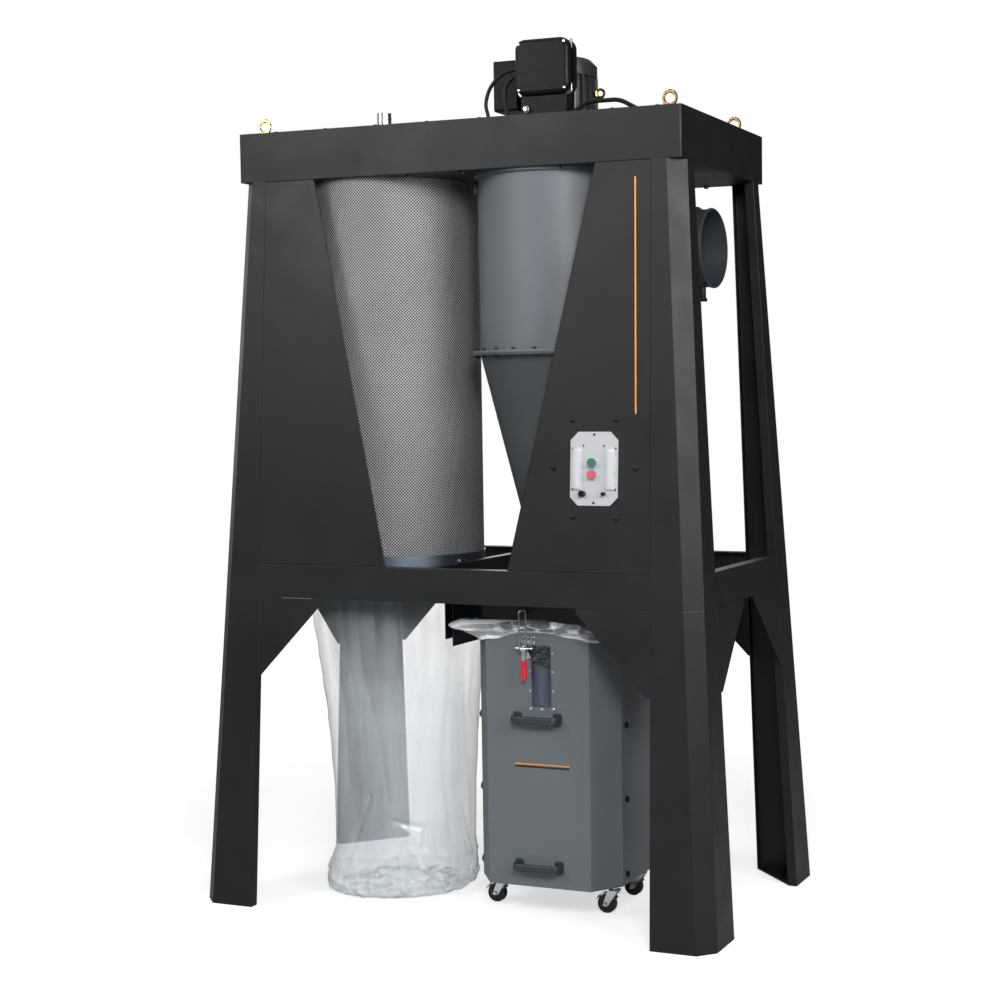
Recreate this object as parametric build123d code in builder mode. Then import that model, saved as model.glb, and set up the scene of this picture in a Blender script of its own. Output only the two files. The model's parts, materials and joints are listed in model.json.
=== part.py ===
"""Cyclone dust separator on a splayed sheet-metal stand.

A cyclone and a filter cartridge hang side by side under a shallow cover that carries the
motor. The cyclone empties into a drum on casters, the filter into a clear bag.
Millimetres, +Z up, the front faces -Y, the origin lies on the floor at the middle of the base.
"""

import os
from math import hypot, sqrt

from build123d import *

os.makedirs("parts", exist_ok=True)

# Stand
base_width = 1856
base_depth = 1052
cover_width = 1590
cover_depth = 764
cover_height = 160
cover_underside = 2425
cover_sheet = 3
cover_corner = 8
deck_sheet = 6
seat_gap = 0.3

leg_sheet = 4
leg_chamfer = 50
leg_face_bottom = 155
leg_face_top = 52
leg_lip = 32
leg_seam = 1043
foot_sheet = 6
anchor_inset = 80
anchor_radius = 7

beam_height = 110
beam_flange = 42
beam_sheet = 4
gusset_run = 250
gusset_drop = 265
gusset_nose = 14
gusset_sheet = 5

panel_sheet = 3
panel_foot_half = 220
panel_head_half = 507

# Cyclone and filter stand in one line across the stand
column_y = -70
cyclone_x = 255
filter_x = -385

cyclone_radius = 282
cyclone_wall = 3
barrel_height = 579
flange_sheet = 8
flange_rim = 26
head_rim = 14
spout_height = 65
spout_radius = 100
outlet_radius = 140

inlet_radius = 127
inlet_wall = 3
inlet_reach = 480
inlet_drop = 239
inlet_clear = 23
collar_length = 56
collar_rim = 10
collar_sheet = 6

filter_radius = 285
filter_wall = 3
filter_height = 1249
filter_band = 52
filter_band_rim = 4
filter_air_radius = 190
bag_collar_radius = 262
bag_collar_drop = 96
bag_collar_wall = 3
bag_film = 10
bag_radii = (225, 252, 243, 260, 284, 284)
bag_level_shares = (0, 0.04, 0.2, 0.58, 0.86, 0.94)
clamp_drop = 64
clamp_height = 18
clamp_sheet = 3

member_width = 31
member_drop = 160
member_short_drop = 138
member_half = 240
member_x = -72
member_sheet = 4

# Motor on the cover
motor_radius = 100
fin_radius = 116
fin_count = 24
fin_sheet = 6
fin_root = 4
fin_lift = 25
fin_height = 135
motor_flange_radius = 130
motor_flange_sheet = 14
cowl_radius = 114
cowl_height = 57
cowl_cut = 20

terminal_width = 190
terminal_depth = 66
terminal_height = 176
terminal_rise = 70
terminal_round = 34
terminal_edge = 14
terminal_shift = 30
terminal_standoff = 44
switch_width = 84
switch_depth = 150
switch_height = 164
switch_rise = 46
switch_round = 8
switch_standoff = 16
neck_width = 80
neck_share = 0.5
pedestal_width = 160
pedestal_depth = 48

cable_radius = 6
cable_sides = 8
cable_pitch = 20
cable_knee = 55
cable_run_share = 0.35
cable_tail = 18
outer_cable_out = 126
outer_cable_drop = 88
outer_cable_bend = 45
inner_cable_out = 62
inner_cable_drop = 100
inner_cable_bend = 30
hose_radius = 7
hose_offset = 125
hose_span = 265
hose_ramp = 80
hose_rise = 36
hose_bend = 90
hose_inset = 62

eye_ring = 21
eye_wire = 6
eye_sides = 6
eye_collar_radius = 17
eye_collar_height = 8
eye_inset = 62
eye_back_inset = 120
lift_rise = 12
lift_ring = 13
lift_wire = 4.5
lift_collar_radius = 11
lift_collar_height = 6
stub_radius = 24
stub_wall = 3
stub_height = 50
stub_x = -290
stub_inset = 90

# Drum, its lid and its fittings
drum_half = 255
drum_cut_x = 71
drum_cut_y = 95
drum_sheet = 3
drum_height = 840
lid_height = 90
lid_overhang = 6
lid_sheet = 3
liner_drop = 25
liner_height = 63
liner_sheet = 14
liner_flare = 46
liner_flare_run = 150
window_shift = 16
window_width = 66
window_height = 197
window_drop = 45
window_sheet = 4
window_round = 6
handle_width = 156
handle_reach = 36
handle_height = 26
handle_sheet = 13
handle_cut = 4
handle_bend = 16
upper_handle_drop = 285
lower_handle_lift = 70

latch_shift = -31
latch_drop = 52
latch_pin_reach = 26
latch_pin_radius = 3
latch_cheek = 3
latch_gap = 18
latch_base_height = 46
latch_base_sheet = 3
lever_width = 14
lever_sheet = 5
lever_length = 100
lever_hub_radius = 7
bail_offset = 12
bail_half = 12
bail_wire = 2.5
bail_sides = 8
bail_bend = 4
bail_tail = 2
bail_rise = 70
catch_sheet = 6
catch_width = 12
catch_nose = 6
catch_gap = 0.5
running_gap = 0.05

caster_spread_x = 203
caster_spread_y = 112
caster_plate_half = 26
caster_plate_sheet = 4
caster_height = 105
wheel_radius = 32
wheel_width = 24
caster_trail = 26
fork_clear = 12
fork_gap = 5
fork_sheet = 3
axle_radius = 5
king_radius = 9

# Control plate on the right panel
plate_x = 518
plate_lift = 325
plate_width = 161
plate_height = 229
plate_cut = 26
plate_sheet = 3
tube_spread = 57
tube_radius = 17
tube_height = 130
tube_cut = 7
button_x = -4
button_pitch = 36
button_radius = 14
button_ring = 17
button_ring_height = 7
button_height = 15
button_stroke = 5
button_gap = 0.4
knob_spread = 36
knob_drop = 78
knob_radius = 10
small_knob_radius = 6
knob_height = 16

# Levels that several pieces share
beam_foot = leg_seam
beam_head = leg_seam + beam_height
cover_head = cover_underside + cover_height
barrel_foot = cover_underside - barrel_height
filter_foot = cover_underside - filter_height
drum_foot = caster_height
drum_rim = drum_foot + drum_height
lid_head = drum_rim + lid_height
fin_foot = cover_head + fin_lift
fin_head = fin_foot + fin_height
fin_middle = (fin_foot + fin_head) / 2


def lean(at_floor, at_cover, z):
    """Value at height z of something that runs straight from the floor to the cover."""
    return at_floor + (at_cover - at_floor) * z / cover_underside


def half_x(z):
    return lean(base_width / 2, cover_width / 2, z)


def half_y(z):
    return lean(base_depth / 2, cover_depth / 2, z)


def leg_face(z):
    return lean(leg_face_bottom, leg_face_top, z)


def inner_x(z):
    return half_x(z) - leg_chamfer - leg_face(z)


def inner_y(z):
    return half_y(z) - leg_chamfer - leg_face(z)


def leg_skin(side, end, z, depth):
    """The folded line of a leg at height z, a given depth inside its outer skin."""
    bend = depth * (sqrt(2) - 1)
    outer_x, outer_y = half_x(z), half_y(z)
    line = [
        (inner_x(z) + depth, outer_y - leg_lip),
        (inner_x(z) + depth, outer_y - depth),
        (outer_x - leg_chamfer - bend, outer_y - depth),
        (outer_x - depth, outer_y - leg_chamfer - bend),
        (outer_x - depth, inner_y(z) + depth),
        (outer_x - leg_lip, inner_y(z) + depth),
    ]
    return [(side * x, end * y) for x, y in line]


def save(piece, name):
    piece.part.label = name
    export_step(piece.part, f"parts/{name}.step")


ends = (("front", -1), ("back", 1))
sides = (("left", -1), ("right", 1))

# The leaning planes that the legs' faces lie in, and the legs' inner edges
slope_y = (base_depth - cover_depth) / 2
slope_x = (base_width - cover_width) / 2
face_planes = {
    "front": Plane((0, -base_depth / 2, 0), (1, 0, 0), (0, -cover_underside, slope_y)),
    "back": Plane((0, base_depth / 2, 0), (-1, 0, 0), (0, cover_underside, slope_y)),
    "left": Plane((-base_width / 2, 0, 0), (0, -1, 0), (-cover_underside, 0, slope_x)),
    "right": Plane((base_width / 2, 0, 0), (0, 1, 0), (cover_underside, 0, slope_x)),
}
rise_y = hypot(cover_underside, slope_y) / cover_underside
rise_x = hypot(cover_underside, slope_x) / cover_underside
edge_x = inner_x(0) - inner_x(cover_underside)
edge_y = inner_y(0) - inner_y(cover_underside)
beam_ends_x = [
    Plane((way * (inner_x(0) - seat_gap), 0, 0), (0, 1, 0), (way * cover_underside, 0, edge_x))
    for way in (-1, 1)
]
beam_ends_y = [
    Plane((0, way * (inner_y(0) - seat_gap), 0), (1, 0, 0), (0, way * cover_underside, edge_y))
    for way in (-1, 1)
]

# Legs: folded sheet columns, each in two pieces that meet level with the beams' underside
for end_name, end in ends:
    for side_name, side in sides:
        with BuildPart() as lower_leg:
            for z in (0, leg_seam):
                with BuildSketch(Plane.XY.offset(z)):
                    with BuildLine():
                        outer = leg_skin(side, end, z, 0)
                        inner = leg_skin(side, end, z, leg_sheet)
                        Polyline(*outer, *reversed(inner), close=True)
                    make_face()
            loft(ruled=True)
            with BuildSketch(Plane.XY):
                with BuildLine():
                    Polyline(*leg_skin(side, end, 0, leg_sheet / 2), close=True)
                make_face()
                anchor_x = side * (base_width / 2 - anchor_inset)
                anchor_y = end * (base_depth / 2 - anchor_inset)
                with Locations((anchor_x, anchor_y)):
                    Circle(anchor_radius, mode=Mode.SUBTRACT)
            extrude(amount=foot_sheet)
        save(lower_leg, f"{end_name}_{side_name}_lower_leg")

        with BuildPart() as upper_leg:
            for z in (leg_seam + seat_gap, cover_underside):
                with BuildSketch(Plane.XY.offset(z)):
                    with BuildLine():
                        outer = leg_skin(side, end, z, 0)
                        inner = leg_skin(side, end, z, leg_sheet)
                        Polyline(*outer, *reversed(inner), close=True)
                    make_face()
            loft(ruled=True)
        save(upper_leg, f"{end_name}_{side_name}_upper_leg")

# Beams: folded channels between the legs' lips, open to the inside
for end_name, end in ends:
    with BuildPart() as beam:
        with BuildSketch(Plane.YZ):
            with BuildLine():
                low, high = half_y(beam_foot), half_y(beam_head)
                channel = [
                    (low - beam_flange, beam_foot),
                    (low, beam_foot),
                    (high, beam_head),
                    (high - beam_flange, beam_head),
                    (high - beam_flange, beam_head - beam_sheet),
                    (high - beam_sheet, beam_head - beam_sheet),
                    (low - beam_sheet, beam_foot + beam_sheet),
                    (low - beam_flange, beam_foot + beam_sheet),
                ]
                Polyline(*[(end * y, z) for y, z in channel], close=True)
            make_face()
        extrude(amount=base_width / 2, both=True)
        for beam_end in beam_ends_x:
            split(bisect_by=beam_end, keep=Keep.BOTTOM)
    save(beam, f"{end_name}_beam")

for side_name, side in sides:
    with BuildPart() as beam:
        with BuildSketch(Plane.XZ):
            with BuildLine():
                low, high = half_x(beam_foot), half_x(beam_head)
                channel = [
                    (low - beam_flange, beam_foot),
                    (low, beam_foot),
                    (high, beam_head),
                    (high - beam_flange, beam_head),
                    (high - beam_flange, beam_head - beam_sheet),
                    (high - beam_sheet, beam_head - beam_sheet),
                    (low - beam_sheet, beam_foot + beam_sheet),
                    (low - beam_flange, beam_foot + beam_sheet),
                ]
                Polyline(*[(side * x, z) for x, z in channel], close=True)
            make_face()
        extrude(amount=base_depth / 2, both=True)
        for beam_end in beam_ends_y:
            split(bisect_by=beam_end, keep=Keep.BOTTOM)
    save(beam, f"{side_name}_beam")

# Gussets: corner plates under the beams, flush with the legs' faces
gusset_head = beam_foot - seat_gap
gusset_foot = gusset_head - gusset_drop
with BuildPart() as gussets:
    for face_name, inner_edge, rise in (
        ("front", inner_x, rise_y),
        ("back", inner_x, rise_y),
        ("left", inner_y, rise_x),
        ("right", inner_y, rise_x),
    ):
        with BuildSketch(face_planes[face_name]):
            for way in (-1, 1):
                with BuildLine():
                    head = inner_edge(gusset_head) - seat_gap
                    foot = inner_edge(gusset_foot) - seat_gap
                    corner = [
                        (head - gusset_run, gusset_head),
                        (head, gusset_head),
                        (foot, gusset_foot),
                        (foot - gusset_nose, gusset_foot),
                        (head - gusset_run, gusset_head - gusset_nose),
                    ]
                    Polyline(*[(way * x, z * rise) for x, z in corner], close=True)
                make_face()
        extrude(amount=-gusset_sheet)
save(gussets, "gussets")

# Front panels: slanted towards the middle of the stand
panel_foot = beam_head + seat_gap
panel_head = cover_underside - seat_gap
for side_name, side in sides:
    with BuildPart() as panel:
        with BuildSketch(face_planes["front"]):
            with BuildLine():
                outline = [
                    (inner_x(panel_foot) - seat_gap, panel_foot),
                    (inner_x(panel_head) - seat_gap, panel_head),
                    (panel_head_half, panel_head),
                    (panel_foot_half, panel_foot),
                ]
                Polyline(*[(side * x, z * rise_y) for x, z in outline], close=True)
            make_face()
        extrude(amount=-panel_sheet)
    save(panel, f"{side_name}_front_panel")

# Cover: a folded box, open below, over the deck that the columns hang from
with BuildPart() as cover:
    with BuildSketch(Plane.XY.offset(cover_underside)):
        Rectangle(cover_width, cover_depth)
    extrude(amount=cover_height)
    fillet(cover.edges().filter_by(Axis.Z), cover_corner)
    with BuildSketch(Plane.XY.offset(cover_underside)):
        Rectangle(cover_width - 2 * cover_sheet, cover_depth - 2 * cover_sheet)
    extrude(amount=cover_height - cover_sheet, mode=Mode.SUBTRACT)
save(cover, "cover")

deck_inset = 2 * (cover_sheet + seat_gap)
with BuildPart() as deck:
    with BuildSketch(Plane.XY.offset(cover_underside)):
        Rectangle(cover_width - deck_inset, cover_depth - deck_inset)
        with Locations((cyclone_x, column_y)):
            Circle(outlet_radius, mode=Mode.SUBTRACT)
        with Locations((filter_x, column_y)):
            Circle(filter_air_radius, mode=Mode.SUBTRACT)
    extrude(amount=deck_sheet)
save(deck, "deck")

# Cross member: two webs under one top plate, let in between the beams and deeper at the lid
member_end = half_y(beam_head) - beam_flange - seat_gap
member_front = column_y - member_half
member_back = column_y + member_half
member_left = member_x - member_width / 2
with BuildPart() as member:
    for start, drop in (
        (member_left, member_short_drop),
        (member_left + member_width - member_sheet, member_drop),
    ):
        with BuildSketch(Plane.YZ.offset(start)):
            with BuildLine():
                Polyline(
                    (-member_end, beam_head),
                    (member_end, beam_head),
                    (member_end, beam_foot),
                    (member_back, beam_foot),
                    (member_back, beam_foot - drop),
                    (member_front, beam_foot - drop),
                    (member_front, beam_foot),
                    (-member_end, beam_foot),
                    close=True,
                )
            make_face()
        extrude(amount=member_sheet)
    with BuildSketch(Plane.XY.offset(beam_head - member_sheet)):
        with Locations((member_x, 0)):
            Rectangle(member_width, 2 * member_end)
    extrude(amount=member_sheet)
save(member, "centre_member")

# Cyclone: barrel, its flange rings, cone and tangential inlet
barrel_head = cover_underside - seat_gap
cyclone_axis = Plane((cyclone_x, column_y, 0))
inlet_y = column_y + cyclone_radius - inlet_radius - inlet_clear
inlet_z = cover_underside - inlet_drop
inlet_axis = Plane((cyclone_x, inlet_y, inlet_z), (0, 1, 0), (1, 0, 0))
with BuildPart() as barrel:
    with BuildSketch(cyclone_axis.offset(barrel_foot)):
        Circle(cyclone_radius)
        Circle(cyclone_radius - cyclone_wall, mode=Mode.SUBTRACT)
    extrude(amount=barrel_head - barrel_foot)
    with BuildSketch(inlet_axis):
        Circle(inlet_radius - inlet_wall)
    extrude(amount=inlet_reach, mode=Mode.SUBTRACT)
save(barrel, "cyclone_barrel")

with BuildPart() as rings:
    for level, rim in ((barrel_foot, flange_rim), (barrel_head - flange_sheet, head_rim)):
        with BuildSketch(cyclone_axis.offset(level)):
            Circle(cyclone_radius + rim)
            Circle(cyclone_radius + seat_gap, mode=Mode.SUBTRACT)
        extrude(amount=flange_sheet)
save(rings, "barrel_flanges")

cone_head = barrel_foot - seat_gap
cone_foot = lid_head + spout_height
with BuildPart() as cone:
    with BuildSketch(Plane((cyclone_x, column_y, 0), (1, 0, 0), (0, -1, 0))):
        with BuildLine():
            Polyline(
                (cyclone_radius + flange_rim, cone_head),
                (cyclone_radius + flange_rim, cone_head - flange_sheet),
                (cyclone_radius, cone_head - flange_sheet),
                (spout_radius, cone_foot),
                (spout_radius, lid_head + seat_gap),
                (spout_radius - cyclone_wall, lid_head + seat_gap),
                (spout_radius - cyclone_wall, cone_foot),
                (cyclone_radius - cyclone_wall, cone_head - flange_sheet),
                (cyclone_radius - cyclone_wall, cone_head),
                close=True,
            )
        make_face()
    revolve(axis=Axis((cyclone_x, column_y, 0), (0, 0, 1)))
save(cone, "cyclone_cone")

with BuildPart() as inlet:
    with BuildSketch(inlet_axis):
        Circle(inlet_radius)
    extrude(amount=inlet_reach)
    with BuildSketch(inlet_axis.offset(inlet_reach - collar_length - collar_sheet)):
        Circle(inlet_radius + collar_rim)
    extrude(amount=collar_sheet)
    with BuildSketch(inlet_axis):
        Circle(inlet_radius - inlet_wall)
    extrude(amount=inlet_reach, mode=Mode.SUBTRACT)
    with BuildSketch(cyclone_axis.offset(barrel_foot)):
        Circle(cyclone_radius + seat_gap)
    extrude(amount=barrel_head - barrel_foot, mode=Mode.SUBTRACT)
save(inlet, "inlet_collar")

# Filter cartridge, its foot band and the bag under it
filter_axis = Plane((filter_x, column_y, 0))
filter_head = cover_underside - seat_gap
with BuildPart() as screen:
    with BuildSketch(filter_axis.offset(filter_foot + seat_gap)):
        Circle(filter_radius)
        Circle(filter_radius - filter_wall, mode=Mode.SUBTRACT)
    extrude(amount=filter_head - filter_foot - seat_gap)
save(screen, "filter_screen")

band_foot = filter_foot - filter_band
collar_foot = band_foot - bag_collar_drop
with BuildPart() as band:
    with BuildSketch(Plane((filter_x, column_y, 0), (1, 0, 0), (0, -1, 0))):
        with BuildLine():
            Polyline(
                (bag_collar_radius - bag_collar_wall, filter_foot),
                (filter_radius + filter_band_rim, filter_foot),
                (filter_radius + filter_band_rim, band_foot),
                (bag_collar_radius, band_foot),
                (bag_collar_radius, collar_foot),
                (bag_collar_radius - bag_collar_wall, collar_foot),
                close=True,
            )
        make_face()
    revolve(axis=Axis((filter_x, column_y, 0), (0, 0, 1)))
save(band, "filter_foot_band")

clamp_foot = band_foot - clamp_drop
bag_head = clamp_foot + clamp_height
bag_radius = bag_collar_radius + bag_film
bag_roof = collar_foot - seat_gap
with BuildPart() as bag:
    with BuildSketch(Plane((filter_x, column_y, 0), (1, 0, 0), (0, -1, 0))):
        with BuildLine():
            Polyline(
                (0, 0),
                *[(r, bag_roof * share) for r, share in zip(bag_radii, bag_level_shares)],
                (bag_radius, clamp_foot - seat_gap),
                (bag_radius, bag_head),
                (bag_collar_radius + seat_gap, bag_head),
                (bag_collar_radius + seat_gap, bag_roof),
                (0, bag_roof),
                close=True,
            )
        make_face()
    revolve(axis=Axis((filter_x, column_y, 0), (0, 0, 1)))
save(bag, "collection_bag")

with BuildPart() as clamp:
    with BuildSketch(filter_axis.offset(clamp_foot)):
        Circle(bag_radius + seat_gap + clamp_sheet)
        Circle(bag_radius + seat_gap, mode=Mode.SUBTRACT)
    extrude(amount=clamp_height)
save(clamp, "bag_clamp")

# Motor with its terminal box in front and its switch box at the left
motor_axis = Plane((cyclone_x, column_y, 0))
cowl_head = fin_head + cowl_height
with BuildPart() as motor:
    with BuildSketch(motor_axis.offset(cover_head)):
        Circle(motor_flange_radius)
    extrude(amount=motor_flange_sheet)
    with BuildSketch(motor_axis.offset(cover_head)):
        Circle(motor_radius)
    extrude(amount=fin_head - cover_head)
    with BuildSketch(motor_axis.offset(fin_foot)):
        with PolarLocations((fin_radius + motor_radius - fin_root) / 2, fin_count):
            Rectangle(fin_radius - motor_radius + fin_root, fin_sheet)
    extrude(amount=fin_height)
    with BuildSketch(motor_axis.offset(fin_head)):
        Circle(cowl_radius)
    extrude(amount=cowl_height)
    chamfer(motor.edges().group_by(Axis.Z)[-1], cowl_cut)
save(motor, "motor")

neck_height = fin_height * neck_share
terminal_x = cyclone_x + terminal_shift
terminal_back = column_y - fin_radius - terminal_standoff
terminal_middle = fin_middle + terminal_rise
with BuildPart() as terminal:
    with BuildSketch(Plane.XZ.offset(-terminal_back)):
        with Locations((terminal_x, terminal_middle)):
            RectangleRounded(terminal_width, terminal_height, terminal_round)
    extrude(amount=terminal_depth)
    fillet(terminal.edges().group_by(Axis.Y)[0], terminal_edge)
    with BuildSketch(Plane.XZ.offset(-terminal_back)):
        with Locations((terminal_x, fin_head - neck_height / 2)):
            Rectangle(neck_width, neck_height)
    extrude(amount=-(terminal_standoff + fin_radius))
    with BuildSketch(Plane.XY.offset(cover_head + seat_gap)):
        with Locations((terminal_x, terminal_back - pedestal_depth / 2)):
            Rectangle(pedestal_width, pedestal_depth)
    extrude(amount=terminal_middle - cover_head - seat_gap)
    with BuildSketch(motor_axis.offset(cover_head)):
        Circle(fin_radius + seat_gap)
    extrude(amount=cowl_head - cover_head, mode=Mode.SUBTRACT)
save(terminal, "terminal_box")

switch_right = cyclone_x - fin_radius - switch_standoff
with BuildPart() as switch:
    with BuildSketch(Plane.YZ.offset(switch_right)):
        with Locations((column_y, fin_middle + switch_rise)):
            RectangleRounded(switch_depth, switch_height, switch_round)
    extrude(amount=-switch_width)
    with BuildSketch(Plane.YZ.offset(switch_right)):
        with Locations((column_y, fin_middle)):
            Rectangle(neck_width, neck_height)
    extrude(amount=switch_standoff + fin_radius)
    with BuildSketch(motor_axis.offset(cover_head)):
        Circle(fin_radius + seat_gap)
    extrude(amount=cowl_head - cover_head, mode=Mode.SUBTRACT)
save(switch, "switch_box")

# Drum, its liner and its lid: a square with long cut corners
drum_axis = Plane((cyclone_x, column_y, 0))
drum_face = column_y - drum_half
latch_x = cyclone_x + latch_shift
latch_level = drum_rim - latch_drop
bail_level = drum_rim + bail_rise


def drum_line(half):
    """The drum's outline at a given half width, from the front left corner round."""
    long_x, long_y = half - drum_cut_x, half - drum_cut_y
    return [
        (-long_x, -half),
        (long_x, -half),
        (half, -long_y),
        (half, long_y),
        (long_x, half),
        (-long_x, half),
        (-half, long_y),
        (-half, -long_y),
    ]


with BuildPart() as drum:
    with BuildSketch(drum_axis.offset(drum_foot)):
        with BuildLine():
            Polyline(*drum_line(drum_half), close=True)
        make_face()
    extrude(amount=drum_rim - drum_foot)
    offset(amount=-drum_sheet, openings=drum.faces().sort_by(Axis.Z)[-1], kind=Kind.INTERSECTION)
save(drum, "drum")

lid_foot = drum_rim + seat_gap
lid_half = drum_half + lid_overhang
liner_half = lid_half + liner_sheet
with BuildPart() as liner:
    with BuildSketch(drum_axis.offset(drum_rim - liner_drop)):
        with BuildLine():
            Polyline(*drum_line(liner_half), close=True)
        make_face()
        with BuildLine():
            Polyline(
                (-liner_half, -liner_half + liner_flare_run),
                (-liner_half - liner_flare / 2, -liner_half + liner_flare),
                (-liner_half - liner_flare, -liner_half),
                (-liner_half + liner_flare_run, -liner_half),
                close=True,
            )
        make_face()
    extrude(amount=liner_height)
    with BuildSketch(drum_axis.offset(drum_rim - liner_drop)):
        with BuildLine():
            Polyline(*drum_line(lid_half + seat_gap), close=True)
        make_face()
    extrude(amount=liner_height, mode=Mode.SUBTRACT)
save(liner, "drum_liner")

with BuildPart() as lid:
    with BuildSketch(drum_axis.offset(lid_foot)):
        with BuildLine():
            Polyline(*drum_line(lid_half), close=True)
        make_face()
    extrude(amount=lid_head - lid_foot)
    with BuildSketch(drum_axis.offset(lid_foot)):
        with BuildLine():
            Polyline(*drum_line(drum_half - lid_sheet), close=True)
        make_face()
    extrude(amount=lid_head - lid_foot - lid_sheet, mode=Mode.SUBTRACT)
    with BuildSketch(drum_axis.offset(lid_head)):
        Circle(spout_radius - cyclone_wall)
    extrude(amount=-lid_sheet, mode=Mode.SUBTRACT)
    catch_reach = latch_pin_reach + bail_offset + catch_nose - lid_overhang
    with BuildSketch(Plane.XZ.offset(-(column_y - lid_half))):
        with Locations((latch_x, bail_level - bail_wire - catch_gap - catch_sheet / 2)):
            Rectangle(catch_width, catch_sheet)
    extrude(amount=catch_reach)
save(lid, "drum_lid")

window_level = drum_rim - window_drop - window_height / 2
with BuildPart() as window:
    with BuildSketch(Plane.XZ.offset(-drum_face)):
        with Locations((cyclone_x + window_shift, window_level)):
            RectangleRounded(window_width, window_height, window_round)
    extrude(amount=window_sheet)
save(window, "drum_window")

with BuildPart() as handles:
    for level in (drum_rim - upper_handle_drop, drum_foot + lower_handle_lift):
        with BuildLine():
            left = cyclone_x - handle_width / 2
            right = left + handle_width
            out = drum_face - handle_reach
            grip = FilletPolyline(
                (left, drum_face, level),
                (left, out, level),
                (right, out, level),
                (right, drum_face, level),
                radius=handle_bend,
            )
        with BuildSketch(Plane(grip @ 0, (0, 0, 1), grip % 0)) as section:
            Rectangle(handle_height, handle_sheet)
            chamfer(section.vertices(), handle_cut)
        sweep(path=grip)
save(handles, "drum_handles")

# Toggle latch: base on the drum, lever on a pin, wire bail over the catch on the lid
pin_y = drum_face - latch_pin_reach
bail_y = pin_y - bail_offset
cheek_head = latch_level + lever_hub_radius
with BuildPart() as latch_base:
    with BuildSketch(Plane.XZ.offset(-drum_face)):
        with Locations((latch_x, cheek_head - latch_base_height / 2)):
            Rectangle(latch_gap + 2 * latch_cheek, latch_base_height)
    extrude(amount=latch_base_sheet)
    for way in (-1, 1):
        with BuildSketch(Plane.YZ.offset(latch_x + way * latch_gap / 2)):
            with BuildLine():
                Polyline(
                    (drum_face, cheek_head - latch_base_height),
                    (drum_face, cheek_head),
                    (pin_y, cheek_head),
                    (pin_y, latch_level - lever_hub_radius),
                    close=True,
                )
            make_face()
            with Locations((pin_y, latch_level)):
                Circle(lever_hub_radius)
        extrude(amount=way * latch_cheek)
    with BuildSketch(Plane.YZ.offset(latch_x)):
        with Locations((pin_y, latch_level)):
            Circle(latch_pin_radius)
    extrude(amount=latch_gap / 2, both=True)
save(latch_base, "latch_base")

lever_front = pin_y - lever_hub_radius
with BuildPart() as lever:
    with BuildSketch(Plane.YZ.offset(latch_x)):
        with Locations((pin_y, latch_level), (bail_y, latch_level)):
            Circle(lever_hub_radius)
        with BuildLine():
            Polyline(
                (lever_front, latch_level),
                (lever_front, latch_level - lever_length),
                (lever_front + lever_sheet, latch_level - lever_length),
                (lever_front + lever_sheet, latch_level),
                close=True,
            )
        make_face()
        with Locations((pin_y, latch_level)):
            Circle(latch_pin_radius + running_gap, mode=Mode.SUBTRACT)
        with Locations((bail_y, latch_level)):
            Circle(bail_wire + running_gap, mode=Mode.SUBTRACT)
    extrude(amount=lever_width / 2, both=True)
save(lever, "latch_lever")

with BuildPart() as bail:
    with BuildLine():
        bow = FilletPolyline(
            (latch_x - bail_tail, bail_y, latch_level),
            (latch_x - bail_half, bail_y, latch_level),
            (latch_x - bail_half, bail_y, bail_level),
            (latch_x + bail_half, bail_y, bail_level),
            (latch_x + bail_half, bail_y, latch_level),
            (latch_x + bail_tail, bail_y, latch_level),
            radius=bail_bend,
        )
    with BuildSketch(Plane(bow @ 0, z_dir=bow % 0)):
        RegularPolygon(bail_wire, bail_sides)
    sweep(path=bow)
save(bail, "latch_bail")

# Casters under the drum's corners
plate_foot = drum_foot - caster_plate_sheet
with BuildPart() as caster_plates:
    with BuildSketch(drum_axis.offset(plate_foot)):
        with GridLocations(2 * caster_spread_x, 2 * caster_spread_y, 2, 2):
            Rectangle(2 * caster_plate_half, 2 * caster_plate_half)
    extrude(amount=caster_plate_sheet)
save(caster_plates, "caster_plates")

for name, x, y in (
    ("front_left", -1, -1),
    ("front_right", 1, -1),
    ("back_left", -1, 1),
    ("back_right", 1, 1),
):
    king_x = cyclone_x + x * caster_spread_x
    king_y = column_y + y * caster_spread_y
    axle_x = king_x - caster_trail
    fork_half = wheel_width / 2 + fork_gap
    fork_crown = 2 * wheel_radius + fork_clear
    with BuildPart() as fork:
        with BuildSketch(Plane((king_x, king_y, fork_crown))):
            Circle(fork_half + fork_sheet)
        extrude(amount=fork_sheet)
        with BuildSketch(Plane((king_x, king_y, fork_crown))):
            Circle(king_radius)
        extrude(amount=plate_foot - seat_gap - fork_crown)
        for way in (-1, 1):
            with BuildSketch(Plane.XZ.offset(-(king_y + way * fork_half))):
                with BuildLine():
                    Polyline(
                        (king_x + fork_half, fork_crown + fork_sheet),
                        (king_x - fork_half, fork_crown + fork_sheet),
                        (axle_x - 2 * axle_radius, wheel_radius - axle_radius),
                        (axle_x + 2 * axle_radius, wheel_radius - axle_radius),
                        close=True,
                    )
                make_face()
            extrude(amount=-way * fork_sheet)
        with BuildSketch(Plane.XZ.offset(-king_y)):
            with Locations((axle_x, wheel_radius)):
                Circle(axle_radius)
        extrude(amount=fork_half, both=True)
    save(fork, f"{name}_caster_fork")
    with BuildPart() as wheel:
        with BuildSketch(Plane.XZ.offset(-king_y)):
            with Locations((axle_x, wheel_radius)):
                Circle(wheel_radius)
                Circle(axle_radius + running_gap, mode=Mode.SUBTRACT)
        extrude(amount=wheel_width / 2, both=True)
    save(wheel, f"{name}_caster_wheel")

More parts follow.
